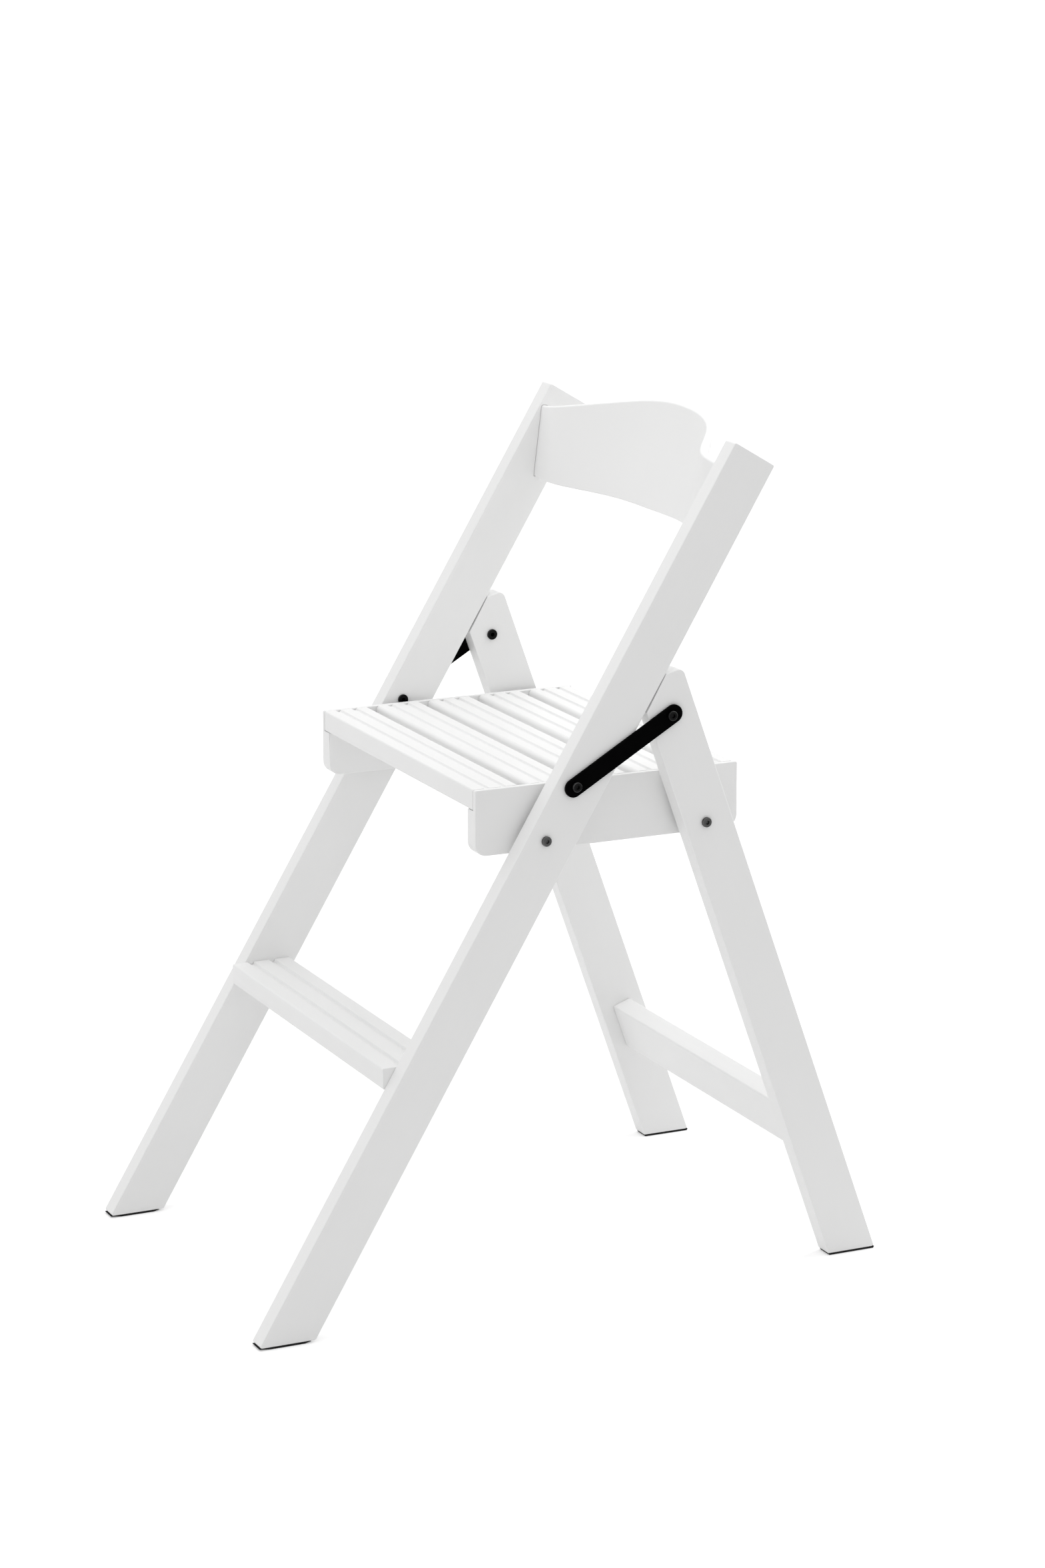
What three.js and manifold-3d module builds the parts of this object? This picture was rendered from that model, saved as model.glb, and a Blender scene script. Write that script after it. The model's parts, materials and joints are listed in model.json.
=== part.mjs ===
// Library step chair: a folding wooden chair with a bowed back panel, a slatted seat and a low tread.
// Lengths are millimetres. X runs across the chair, Y from front to back and Z up.
// The chair stands open. The origin is on the floor, in the middle of the footprint.
// Left is the sitter's left, which is +X.
import * as THREE from "three";
import { mergeVertices } from "three/addons/utils/BufferGeometryUtils.js";
import Module from "manifold-3d";

const wasm = await Module();
wasm.setup();

// Frame boards
const frameWidth = 430;
const boardThickness = 20;
const boardWidth = 50;
const boardEase = 1.2;
const boardCornerRadius = 2;

// Stiles: the long front boards, leaning back
const stileLength = 975;
const stileTiltDegrees = 31;

// Rear legs: they lean forward, and a slanting cut at the top stops them on the backs of the stiles
const legTiltDegrees = 19.7;
const legStopLength = 40.5;
const legTopSlopeDegrees = 14;
const legTopRadius = 7;
const legStopGap = 0.5;

// Pivots: seat in stile and leg on seat, placed from the seat's ends and bottom, and the link's two
const seatPivotRise = 15.5;
const seatFrontInset = 62.3;
const seatBackInset = 47.7;
const stilePivotSetback = 19.2;
const legPivotSetback = 22.2;
const stileLinkRise = 59.2;
const legLinkDrop = 14.5;

// Seat: side boards with a ledge that carries the slats
const seatTop = 514.3;
const seatSideHeight = 65.3;
const seatSideThickness = 18;
const seatSideGap = 6.5;
const seatSideRadius = 12;
const seatLip = 4.8;
const slatCount = 5;
const slatWidth = 50;
const slatGap = 8;
const slatThickness = 21;
const slatEndGap = 0.6;
const slatGrooveWidth = 5.5;

// Tread: the low step between the stiles
const treadTop = 254.4;
const treadNosing = 7.5;
const treadDepth = 63.5;
const treadThickness = 21;
const treadGrooveWidth = 6.2;

// Grooved boards, slats and tread alike
const grooveCount = 2;
const grooveDepth = 2;
const grooveSteps = 4;
const stripEdgeRadius = 1.8;

// Rear stretcher
const stretcherHeight = 50;
const stretcherThickness = 21;
const stretcherAlongLeg = 124.8;
const stretcherEdgeRadius = 1.8;

// Bowed back panel: its ends are let into the stiles slantwise, from near the back edge at the foot to
// near the front edge at the top, and its middle bows back
const crestThickness = 8;
const crestEdgeRadius = 2.4;
const crestFootDrop = 92.8;
const crestFootInset = 17.4;
const crestTopDrop = 24.6;
const crestTopInset = 2.3;
const crestBowTop = 52.7;
const crestBowBottom = 38;
const crestEndFlat = 24;
const crestBowPower = 1.75;
const crestTopRise = 25.4;
const crestTopPower = 1.4;
const crestBottomSag = 6;
const crestBottomPower = 2.2;
const crestSlotDepth = 8;
const crestSlotGap = 0.4;
const crestStations = 44;

// Steel links
const linkWidth = 18;
const linkThickness = 3;
const linkEndReach = 11.8;
const linkEdge = 0.4;

// Socket bolts and sleeve nuts
const boltRadius = 3;
const boltHeadReach = 2;
const boltHeadHeight = 3;
const boltHeadRim = 0.9;
const socketAcross = 4;
const socketDepth = 1.9;
const nutWall = 0.7;
const nutFlangeReach = 1.5;
const nutFlangeThickness = 1.8;
const nutFlangeEdge = 0.4;
const nutEndGap = 1.5;
const boltEndGap = 1.8;
const spacerWall = 4.7;

// Dowels
const frameDowelRadius = 4;
const frameDowelDepth = 12;
const frameDowelReach = 20;
const slatDowelRadius = 3;
const slatDowelDepth = 12;
const slatDowelReach = 9;
const dowelEndGap = 0.5;

// Foot pads
const padThickness = 2;
const padSideInset = 0.6;
const frontPadFrontInset = 2.2;
const frontPadBackInset = 3.6;
const rearPadInset = 0.4;

// Clearances and how finely curves are cut up
const seatGap = 0.3;
const boreClearance = 0.3;
const overrun = 2;
const cornerSteps = 3;
const boreSegments = 16;
const boltSegments = 16;
const dowelSegments = 12;
const headSteps = 4;

// Where two dowels stand along a joint, as shares of its length
const dowelShares = [0.28, 0.72];

const radians = (degrees) => THREE.MathUtils.degToRad(degrees);
const stileTilt = radians(stileTiltDegrees);
const legTilt = radians(legTiltDegrees);
const outerFace = frameWidth / 2;
const innerFace = outerFace - boardThickness;
const woodBottom = padThickness + seatGap;
const seatDepth = slatCount * slatWidth + (slatCount - 1) * slatGap;
const seatPivotHeight = seatTop - seatSideHeight + seatPivotRise;
const boltHeadRadius = boltRadius + boltHeadReach;
const boltBoreRadius = boltRadius + boreClearance;
const nutRadius = boltBoreRadius + nutWall;
const nutFlangeRadius = nutRadius + nutFlangeReach;
const nutBoreRadius = nutRadius + boreClearance;
const spacerRadius = boltBoreRadius + spacerWall;

const sides = [
  { name: "left", sign: 1 },
  { name: "right", sign: -1 },
];

const whitePaint = { color: 0xf1f1ef, roughness: 0.42, metalness: 0 };
const blackSteel = { color: 0x17181a, roughness: 0.45, metalness: 0.7 };
const blackRubber = { color: 0x1c1c1c, roughness: 0.85, metalness: 0 };
const blackNylon = { color: 0x202022, roughness: 0.6, metalness: 0 };
const bareBeech = { color: 0xd9b98c, roughness: 0.7, metalness: 0 };

// A point of the side view (Y, Z) in the stile's own directions
function stilePoint(along, back) {
  const y = along * Math.sin(stileTilt) + back * Math.cos(stileTilt);
  const z = along * Math.cos(stileTilt) - back * Math.sin(stileTilt);
  return new THREE.Vector2(y, z);
}

// How far along the stile a point lies that is set back from its front edge and stands at a height
function stileAlong(height, back) {
  return (height + back * Math.sin(stileTilt)) / Math.cos(stileTilt);
}

// The seat hangs between its pivots on the stile and on the leg
const seatPivotAlong = stileAlong(seatPivotHeight, stilePivotSetback);
const seatPivot = stilePoint(seatPivotAlong, stilePivotSetback);
const seatFront = seatPivot.x - seatFrontInset;
const legPivot = new THREE.Vector2(seatFront + seatDepth - seatBackInset, seatPivotHeight);
const legPivotForward = boardWidth - legPivotSetback;
const legFootBack = legPivot.x + legPivot.y * Math.tan(legTilt) + legPivotForward / Math.cos(legTilt);

// A point of the side view in the leg's own directions, measured from its back edge at the floor
function legPoint(along, forward) {
  const y = legFootBack - along * Math.sin(legTilt) - forward * Math.cos(legTilt);
  const z = along * Math.cos(legTilt) - forward * Math.sin(legTilt);
  return new THREE.Vector2(y, z);
}

function legAlong(height, forward) {
  return (height + forward * Math.sin(legTilt)) / Math.cos(legTilt);
}

// Crossing of the line through a and b with the line through c and d
function crossing(a, b, c, d) {
  const u = b.clone().sub(a);
  const v = d.clone().sub(c);
  const t = c.clone().sub(a).cross(v) / u.cross(v);
  return a.clone().addScaledVector(u, t);
}

// The leg's stop: the cut starts where the leg's front edge meets the stile's back and runs along it
const stopBack = boardWidth + legStopGap;
const legFront = [legPoint(0, boardWidth), legPoint(stileLength, boardWidth)];
const stopLine = [stilePoint(0, stopBack), stilePoint(stileLength, stopBack)];
const stopFoot = crossing(...legFront, ...stopLine);
const stopUpward = new THREE.Vector2(Math.sin(stileTilt), Math.cos(stileTilt));
const stopHead = stopFoot.clone().addScaledVector(stopUpward, legStopLength);

// The link's pivots: above the seat's pivot on the stile, and below the stop's foot on the leg
const stileLinkPivot = stilePoint(seatPivotAlong + stileLinkRise, stilePivotSetback);
const legLinkAlong = legAlong(stopFoot.y, boardWidth) - legLinkDrop;
const legLinkPivot = legPoint(legLinkAlong, legPivotForward);

// Replaces each corner of a closed outline by an arc of its own radius
function roundedOutline(corners, radii) {
  const points = [];
  corners.forEach((corner, index) => {
    const before = corners[(index + corners.length - 1) % corners.length];
    const after = corners[(index + 1) % corners.length];
    const radius = radii[index];
    const toBefore = before.clone().sub(corner).normalize();
    const toAfter = after.clone().sub(corner).normalize();
    const half = Math.acos(THREE.MathUtils.clamp(toBefore.dot(toAfter), -1, 1)) / 2;
    const reach = radius / Math.tan(half);
    const middle = toBefore.clone().add(toAfter).normalize();
    const center = corner.clone().addScaledVector(middle, radius / Math.sin(half));
    const start = corner.clone().addScaledVector(toBefore, reach).sub(center);
    const end = corner.clone().addScaledVector(toAfter, reach).sub(center);
    const sweep = Math.atan2(start.cross(end), start.dot(end));
    for (let step = 0; step <= cornerSteps; step += 1) {
      const turn = (sweep * step) / cornerSteps;
      points.push(start.clone().rotateAround(new THREE.Vector2(), turn).add(center));
    }
  });
  return points;
}

function sameRadii(corners, radius) {
  return corners.map(() => radius);
}

// A round hole's outline in the side view
function circlePoints(center, radius, segments) {
  const points = [];
  for (let index = 0; index < segments; index += 1) {
    const angle = (2 * Math.PI * index) / segments;
    points.push(new THREE.Vector2(Math.cos(angle), Math.sin(angle)).multiplyScalar(radius).add(center));
  }
  return points;
}

// Turns a side-view outline (Y, Z) into a board that spans from one X to another, with eased edges
function boardAcross(outline, fromX, toX, ease, holes = []) {
  const shape = new THREE.Shape(outline);
  holes.forEach((hole) => {
    shape.holes.push(new THREE.Path(circlePoints(hole.center, hole.radius, boreSegments)));
  });
  const low = Math.min(fromX, toX);
  const high = Math.max(fromX, toX);
  const geometry = new THREE.ExtrudeGeometry(shape, {
    depth: high - low - 2 * ease,
    bevelEnabled: ease > 0,
    bevelThickness: ease,
    bevelSize: ease,
    bevelOffset: -ease,
    bevelSegments: 1,
    steps: 1,
  });
  geometry.translate(0, 0, low + ease);
  const turned = new THREE.Matrix4().makeBasis(
    new THREE.Vector3(0, 1, 0),
    new THREE.Vector3(0, 0, 1),
    new THREE.Vector3(1, 0, 0),
  );
  return geometry.applyMatrix4(turned);
}

function toSolid(geometry) {
  const bare = geometry.index ? geometry.toNonIndexed() : geometry.clone();
  bare.deleteAttribute("normal");
  bare.deleteAttribute("uv");
  const merged = mergeVertices(bare);
  return new wasm.Manifold(
    new wasm.Mesh({
      numProp: 3,
      vertProperties: new Float32Array(merged.attributes.position.array),
      triVerts: new Uint32Array(merged.index.array),
    }),
  );
}

function toGeometry(solid) {
  const mesh = solid.getMesh();
  const geometry = new THREE.BufferGeometry();
  geometry.setAttribute("position", new THREE.BufferAttribute(mesh.vertProperties, mesh.numProp));
  geometry.setIndex(new THREE.BufferAttribute(mesh.triVerts, 1));
  const flat = geometry.toNonIndexed();
  flat.computeVertexNormals();
  return flat;
}

function carve(geometry, cutters) {
  const carved = cutters.reduce((solid, cutter) => solid.subtract(toSolid(cutter)), toSolid(geometry));
  return toGeometry(carved);
}

// A round bar along X
function barAcross(center, radius, fromX, toX, segments) {
  const bar = new THREE.CylinderGeometry(radius, radius, Math.abs(toX - fromX), segments);
  bar.rotateZ(-Math.PI / 2);
  bar.translate((fromX + toX) / 2, center.x, center.y);
  return bar;
}

// A round bar along Z
function barUp(x, y, radius, fromZ, toZ, segments) {
  const bar = new THREE.CylinderGeometry(radius, radius, toZ - fromZ, segments);
  bar.rotateX(Math.PI / 2);
  bar.translate(x, y, (fromZ + toZ) / 2);
  return bar;
}

// Turned parts are drawn with their axis along Y, then laid along X on the side they belong to
function layAcross(geometry, sign, x, center) {
  geometry.rotateZ(-sign * (Math.PI / 2));
  geometry.translate(sign * x, center.x, center.y);
  return geometry;
}

// Side view of a grooved board: a rectangle with soft edges and round-bottomed grooves in its top
function groovedOutline(front, top, depth, thickness, grooveWidth) {
  const stripWidth = (depth - grooveCount * grooveWidth) / (grooveCount + 1);
  const back = front + depth;
  const bottom = top - thickness;
  const corners = [
    new THREE.Vector2(front, bottom),
    new THREE.Vector2(back, bottom),
    new THREE.Vector2(back, top),
    new THREE.Vector2(front, top),
  ];
  const outline = roundedOutline(corners, sameRadii(corners, stripEdgeRadius));
  const grooves = [];
  for (let groove = grooveCount; groove > 0; groove -= 1) {
    const grooveFront = front + groove * stripWidth + (groove - 1) * grooveWidth;
    for (let step = 0; step <= grooveSteps; step += 1) {
      const share = 1 - step / grooveSteps;
      const dip = grooveDepth * Math.sin(Math.PI * share);
      grooves.push(new THREE.Vector2(grooveFront + share * grooveWidth, top - dip));
    }
  }
  const cornerPoints = cornerSteps + 1;
  outline.splice(3 * cornerPoints, 0, ...grooves);
  return outline;
}

// The tread's nose stands a little ahead of the stiles
const treadMiddle = treadTop - treadThickness / 2;
const treadStileFront = stilePoint(stileAlong(treadMiddle, 0), 0).x;
const treadFront = treadStileFront - treadNosing;

// Dowel places across a board's end: the same for the holes on both sides of a joint and the dowel
function treadDowelCenter(share) {
  const jointDepth = treadDepth - treadNosing;
  return new THREE.Vector2(treadStileFront + share * jointDepth, treadMiddle);
}

function stretcherDowelCenter(share) {
  return legPoint(stretcherAlongLeg + share * stretcherHeight, boardWidth / 2);
}

// How much of its full bow the panel has at one X, as a share
function crestBowShare(x) {
  const reachShare = Math.min(1, Math.abs(x) / (innerFace - crestEndFlat));
  return (1 + Math.cos(Math.PI * reachShare ** crestBowPower)) / 2;
}

// Front line of the back panel at one X, from its bottom edge to its top edge in the side view.
// The panel is ruled: at every X its front is one straight line, and the top bows more than the bottom.
function crestLine(x) {
  const foot = stilePoint(stileLength - crestFootDrop, boardWidth - crestFootInset);
  const endTop = stilePoint(stileLength - crestTopDrop, crestTopInset);
  const endRise = endTop.y - foot.y;
  const acrossShare = Math.min(1, Math.abs(x) / innerFace);
  const topShare = Math.cos((Math.PI / 2) * acrossShare) ** crestTopPower;
  const heights = [
    foot.y - crestBottomSag * (1 - acrossShare ** crestBottomPower),
    endTop.y + crestTopRise * topShare,
  ];
  return heights.map((height) => {
    const climbShare = (height - foot.y) / endRise;
    const bow = crestBowShare(x) * (crestBowBottom + (crestBowTop - crestBowBottom) * climbShare);
    return new THREE.Vector2(foot.x + (endTop.x - foot.x) * climbShare + bow, height);
  });
}

// Cross-section of the panel at one X. Where the panel runs slantwise its section in the side view is
// thicker, so that the panel keeps one thickness all along.
function crestSection(x, spread) {
  const [bottom, top] = crestLine(x);
  const middle = bottom.clone().add(top).multiplyScalar(1 / 2);
  const probe = innerFace / crestStations;
  const [nextBottom, nextTop] = crestLine(x + probe);
  const nextMiddle = nextBottom.add(nextTop).multiplyScalar(1 / 2);
  const slope = (nextMiddle.x - middle.x) / probe;
  const thickness = crestThickness * Math.hypot(1, slope) + 2 * spread;
  const up = top.clone().sub(bottom).normalize();
  const back = new THREE.Vector2(up.y, -up.x);
  const low = bottom.clone().addScaledVector(up, -spread).addScaledVector(back, -spread);
  const high = top.clone().addScaledVector(up, spread).addScaledVector(back, -spread);
  const corners = [
    low,
    low.clone().addScaledVector(back, thickness),
    high.clone().addScaledVector(back, thickness),
    high,
  ];
  return roundedOutline(corners, sameRadii(corners, crestEdgeRadius));
}

// Joins rings of points, one at each X, into one closed skin with flat ends
function skinAcross(stations, sectionAt) {
  const rings = stations.map((x) => sectionAt(x).map((point) => [x, point.x, point.y]));
  const count = rings[0].length;
  const positions = rings.flat(2);
  const triangles = [];
  for (let station = 0; station + 1 < rings.length; station += 1) {
    for (let index = 0; index < count; index += 1) {
      const here = station * count + index;
      const beside = station * count + ((index + 1) % count);
      triangles.push(here, beside, here + count, beside, beside + count, here + count);
    }
  }
  const last = (rings.length - 1) * count;
  for (let index = 1; index + 1 < count; index += 1) {
    triangles.push(0, index + 1, index, last, last + index, last + index + 1);
  }
  const geometry = new THREE.BufferGeometry();
  geometry.setAttribute("position", new THREE.Float32BufferAttribute(positions, 3));
  geometry.setIndex(triangles);
  geometry.computeVertexNormals();
  return geometry;
}

function crestPanel() {
  const reach = innerFace + crestSlotDepth - crestSlotGap;
  const stations = [-reach];
  for (let index = -crestStations / 2; index <= crestStations / 2; index += 1) {
    stations.push((2 * innerFace * index) / crestStations);
  }
  stations.push(reach);
  return skinAcross(stations, (x) => crestSection(x, 0));
}

// The slot that takes one end of the panel
function crestSlot(sign) {
  const mouth = sign * (innerFace - overrun);
  const floor = sign * (innerFace + crestSlotDepth);
  const stations = [mouth, floor].sort((a, b) => a - b);
  return skinAcross(stations, () => crestSection(sign * innerFace, crestSlotGap));
}

function stile(sign) {
  const corners = [
    stilePoint(stileAlong(woodBottom, 0), 0),
    stilePoint(stileAlong(woodBottom, boardWidth), boardWidth),
    stilePoint(stileLength, boardWidth),
    stilePoint(stileLength, 0),
  ];
  const holes = [
    { center: seatPivot, radius: boltBoreRadius },
    { center: stileLinkPivot, radius: nutBoreRadius },
  ];
  const outline = roundedOutline(corners, sameRadii(corners, boardCornerRadius));
  const board = boardAcross(outline, sign * innerFace, sign * outerFace, boardEase, holes);
  const dowelHoles = dowelShares.map((share) =>
    barAcross(
      treadDowelCenter(share),
      frameDowelRadius + boreClearance,
      sign * (innerFace - overrun),
      sign * (innerFace + frameDowelDepth + dowelEndGap),
      dowelSegments,
    ),
  );
  return carve(board, [crestSlot(sign), ...dowelHoles]);
}

// From the head of its stop the leg's top end slopes up to its back edge
function rearLeg(sign) {
  const slope = radians(legTopSlopeDegrees);
  const alongTop = stopHead.clone().add(new THREE.Vector2(Math.cos(slope), Math.sin(slope)));
  const footBack = legPoint(legAlong(woodBottom, 0), 0);
  const corners = [
    footBack,
    crossing(footBack, legPoint(stileLength, 0), stopHead, alongTop),
    stopHead,
    stopFoot,
    legPoint(legAlong(woodBottom, boardWidth), boardWidth),
  ];
  const radii = [boardCornerRadius, legTopRadius, boardCornerRadius, boardCornerRadius, boardCornerRadius];
  const holes = [
    { center: legPivot, radius: boltBoreRadius },
    { center: legLinkPivot, radius: nutBoreRadius },
  ];
  const outline = roundedOutline(corners, radii);
  const board = boardAcross(outline, sign * innerFace, sign * outerFace, boardEase, holes);
  const dowelHoles = dowelShares.map((share) =>
    barAcross(
      stretcherDowelCenter(share),
      frameDowelRadius + boreClearance,
      sign * (innerFace - overrun),
      sign * (innerFace + frameDowelDepth + dowelEndGap),
      dowelSegments,
    ),
  );
  return carve(board, dowelHoles);
}

// A cross board between the two frames' boards, with blind dowel holes in both ends
function crossBoard(outline, centers) {
  const halfLength = innerFace - seatGap;
  const board = boardAcross(outline, -halfLength, halfLength, 0);
  const holes = sides.flatMap(({ sign }) =>
    centers.map((center) =>
      barAcross(
        center,
        frameDowelRadius + boreClearance,
        sign * (innerFace - frameDowelReach - dowelEndGap),
        sign * (innerFace + overrun),
        dowelSegments,
      ),
    ),
  );
  return carve(board, holes);
}

function tread() {
  const outline = groovedOutline(treadFront, treadTop, treadDepth, treadThickness, treadGrooveWidth);
  return crossBoard(outline, dowelShares.map(treadDowelCenter));
}

function stretcher() {
  const nearFront = (boardWidth + stretcherThickness) / 2;
  const nearBack = (boardWidth - stretcherThickness) / 2;
  const corners = [
    legPoint(stretcherAlongLeg, nearFront),
    legPoint(stretcherAlongLeg, nearBack),
    legPoint(stretcherAlongLeg + stretcherHeight, nearBack),
    legPoint(stretcherAlongLeg + stretcherHeight, nearFront),
  ];
  const outline = roundedOutline(corners, sameRadii(corners, stretcherEdgeRadius));
  return crossBoard(outline, dowelShares.map(stretcherDowelCenter));
}

function frameDowel(sign, center) {
  const from = sign * (innerFace - frameDowelReach);
  const to = sign * (innerFace + frameDowelDepth);
  return barAcross(center, frameDowelRadius, from, to, dowelSegments);
}

// Seat
const seatOuterFace = innerFace - seatSideGap;
const seatInnerFace = seatOuterFace - seatSideThickness;
const ledgeTop = seatTop - slatThickness;
const slatHalfLength = seatOuterFace - seatLip - slatEndGap;
const slatDowelX = (seatInnerFace + slatHalfLength) / 2;

function slatFront(index) {
  return seatFront + index * (slatWidth + slatGap);
}

function seatSide(sign) {
  const seatBottom = seatTop - seatSideHeight;
  const seatBack = seatFront + seatDepth;
  const corners = [
    new THREE.Vector2(seatFront, seatBottom),
    new THREE.Vector2(seatBack, seatBottom),
    new THREE.Vector2(seatBack, seatTop),
    new THREE.Vector2(seatFront, seatTop),
  ];
  const radii = [seatSideRadius, seatSideRadius, boardCornerRadius, boardCornerRadius];
  const holes = [seatPivot, legPivot].map((center) => ({ center, radius: nutBoreRadius }));
  const outline = roundedOutline(corners, radii);
  const board = boardAcross(outline, sign * seatInnerFace, sign * seatOuterFace, boardEase, holes);
  const rebateWidth = seatSideThickness - seatLip + overrun;
  const rebate = new THREE.BoxGeometry(rebateWidth, seatDepth + 2 * overrun, slatThickness + overrun);
  const rebateX = seatOuterFace - seatLip - rebateWidth / 2;
  rebate.translate(sign * rebateX, seatFront + seatDepth / 2, ledgeTop + (slatThickness + overrun) / 2);
  const dowelHoles = [];
  for (let index = 0; index < slatCount; index += 1) {
    const y = slatFront(index) + slatWidth / 2;
    const holeBottom = ledgeTop - slatDowelDepth - dowelEndGap;
    const radius = slatDowelRadius + boreClearance;
    dowelHoles.push(barUp(sign * slatDowelX, y, radius, holeBottom, ledgeTop + overrun, dowelSegments));
  }
  return carve(board, [rebate, ...dowelHoles]);
}

function seatSlat(index) {
  const front = slatFront(index);
  const thickness = slatThickness - seatGap;
  const outline = groovedOutline(front, seatTop, slatWidth, thickness, slatGrooveWidth);
  const board = boardAcross(outline, -slatHalfLength, slatHalfLength, 0);
  const holes = sides.map(({ sign }) =>
    barUp(
      sign * slatDowelX,
      front + slatWidth / 2,
      slatDowelRadius + boreClearance,
      ledgeTop - overrun,
      ledgeTop + slatDowelReach + dowelEndGap,
      dowelSegments,
    ),
  );
  return carve(board, holes);
}

function slatDowel(sign, index) {
  const y = slatFront(index) + slatWidth / 2;
  const bottom = ledgeTop - slatDowelDepth;
  return barUp(sign * slatDowelX, y, slatDowelRadius, bottom, ledgeTop + slatDowelReach, dowelSegments);
}

// Steel link: a flat bar whose rounded ends reach a little past the pivots
function link(sign) {
  const along = legLinkPivot.clone().sub(stileLinkPivot).normalize();
  const beside = new THREE.Vector2(-along.y, along.x).multiplyScalar(linkWidth / 2);
  const low = stileLinkPivot.clone().addScaledVector(along, -linkEndReach);
  const high = legLinkPivot.clone().addScaledVector(along, linkEndReach);
  const corners = [
    low.clone().sub(beside),
    high.clone().sub(beside),
    high.clone().add(beside),
    low.clone().add(beside),
  ];
  const outline = linkEnds(corners);
  const inner = outerFace + seatGap;
  const holes = [stileLinkPivot, legLinkPivot].map((center) => ({ center, radius: boltBoreRadius }));
  return boardAcross(outline, sign * inner, sign * (inner + linkThickness), linkEdge, holes);
}

// Half circles at both ends of a bar given by its four corners
function linkEnds(corners) {
  const points = [];
  const steps = 2 * cornerSteps + 2;
  [[1, 2], [3, 0]].forEach(([first, second]) => {
    const side = corners[second].clone().sub(corners[first]).multiplyScalar(1 / 2);
    const outward = new THREE.Vector2(side.y, -side.x);
    const center = corners[first].clone().add(side).sub(outward);
    for (let step = 0; step <= steps; step += 1) {
      const angle = (Math.PI * step) / steps;
      const arm = side.clone().multiplyScalar(-Math.cos(angle)).addScaledVector(outward, Math.sin(angle));
      points.push(center.clone().add(arm));
    }
  });
  return points;
}

// Socket bolt with a domed head. Its seat, the underside of the head, lies at the turned part's zero.
function socketBolt(length) {
  const profile = [new THREE.Vector2(0, -length), new THREE.Vector2(boltRadius, -length)];
  profile.push(new THREE.Vector2(boltRadius, 0), new THREE.Vector2(boltHeadRadius, 0));
  for (let step = 0; step < headSteps; step += 1) {
    const angle = (Math.PI * step) / (2 * headSteps);
    const radius = boltHeadRadius * Math.cos(angle);
    const height = boltHeadRim + (boltHeadHeight - boltHeadRim) * Math.sin(angle);
    profile.push(new THREE.Vector2(radius, height));
  }
  profile.push(new THREE.Vector2(0, boltHeadHeight));
  const turned = new THREE.LatheGeometry(profile, boltSegments);
  return carve(turned, [hexBar(boltHeadHeight - socketDepth, boltHeadHeight + overrun)]);
}

// A six-sided bar along Y, as wide across its flats as the key
function hexBar(from, to) {
  const corner = socketAcross / (2 * Math.cos(Math.PI / 6));
  const bar = new THREE.CylinderGeometry(corner, corner, to - from, 6);
  bar.translate(0, (from + to) / 2, 0);
  return bar;
}

// Sleeve nut: a flange with a hexagonal socket and an open barrel behind it
function sleeveNut(length) {
  const profile = [
    new THREE.Vector2(0, nutFlangeThickness),
    new THREE.Vector2(0, 0),
    new THREE.Vector2(boltBoreRadius, 0),
    new THREE.Vector2(boltBoreRadius, -length),
    new THREE.Vector2(nutRadius, -length),
    new THREE.Vector2(nutRadius, 0),
    new THREE.Vector2(nutFlangeRadius, 0),
    new THREE.Vector2(nutFlangeRadius, nutFlangeThickness - nutFlangeEdge),
    new THREE.Vector2(nutFlangeRadius - nutFlangeEdge, nutFlangeThickness),
    new THREE.Vector2(0, nutFlangeThickness),
  ];
  const turned = new THREE.LatheGeometry(profile, boltSegments);
  return carve(turned, [hexBar(-overrun, nutFlangeThickness + overrun)]);
}

function spacer(sign, center) {
  const from = seatOuterFace + seatGap;
  const length = seatSideGap - 2 * seatGap;
  const profile = [
    new THREE.Vector2(boltBoreRadius, 0),
    new THREE.Vector2(spacerRadius, 0),
    new THREE.Vector2(spacerRadius, length),
    new THREE.Vector2(boltBoreRadius, length),
    new THREE.Vector2(boltBoreRadius, 0),
  ];
  return layAcross(new THREE.LatheGeometry(profile, boltSegments), sign, from, center);
}

// A bolt with its head against an outer face and a nut with its flange against an inner face
function boltAt(sign, center, headSeat, tip) {
  return layAcross(socketBolt(headSeat - tip), sign, headSeat, center);
}

function nutAt(sign, center, flangeSeat, barrelEnd) {
  return layAcross(sleeveNut(barrelEnd - flangeSeat), -sign, -flangeSeat, center);
}

// Pads are boxes as long as the foot that they carry, less their insets
function footPad(sign, front, back) {
  const width = boardThickness - 2 * padSideInset;
  const pad = new THREE.BoxGeometry(width, back - front, padThickness);
  return pad.translate(sign * (innerFace + boardThickness / 2), (front + back) / 2, padThickness / 2);
}

const frontFootDepth = boardWidth / Math.cos(stileTilt);
const rearFootFront = legFootBack - boardWidth / Math.cos(legTilt);
const linkHeadSeat = outerFace + linkThickness + 2 * seatGap;
const woodHeadSeat = outerFace + seatGap;
const frameNutSeat = innerFace - seatGap;
const seatNutSeat = seatInnerFace - seatGap;

const chair = new THREE.Group();

function add(name, geometry, finish) {
  const piece = new THREE.Mesh(geometry, new THREE.MeshStandardMaterial(finish));
  piece.name = name;
  chair.add(piece);
}

add("crest_panel", crestPanel(), whitePaint);
add("tread", tread(), whitePaint);
add("rear_stretcher", stretcher(), whitePaint);
for (let index = 0; index < slatCount; index += 1) {
  add(`seat_slat_${index + 1}`, seatSlat(index), whitePaint);
}

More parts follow.
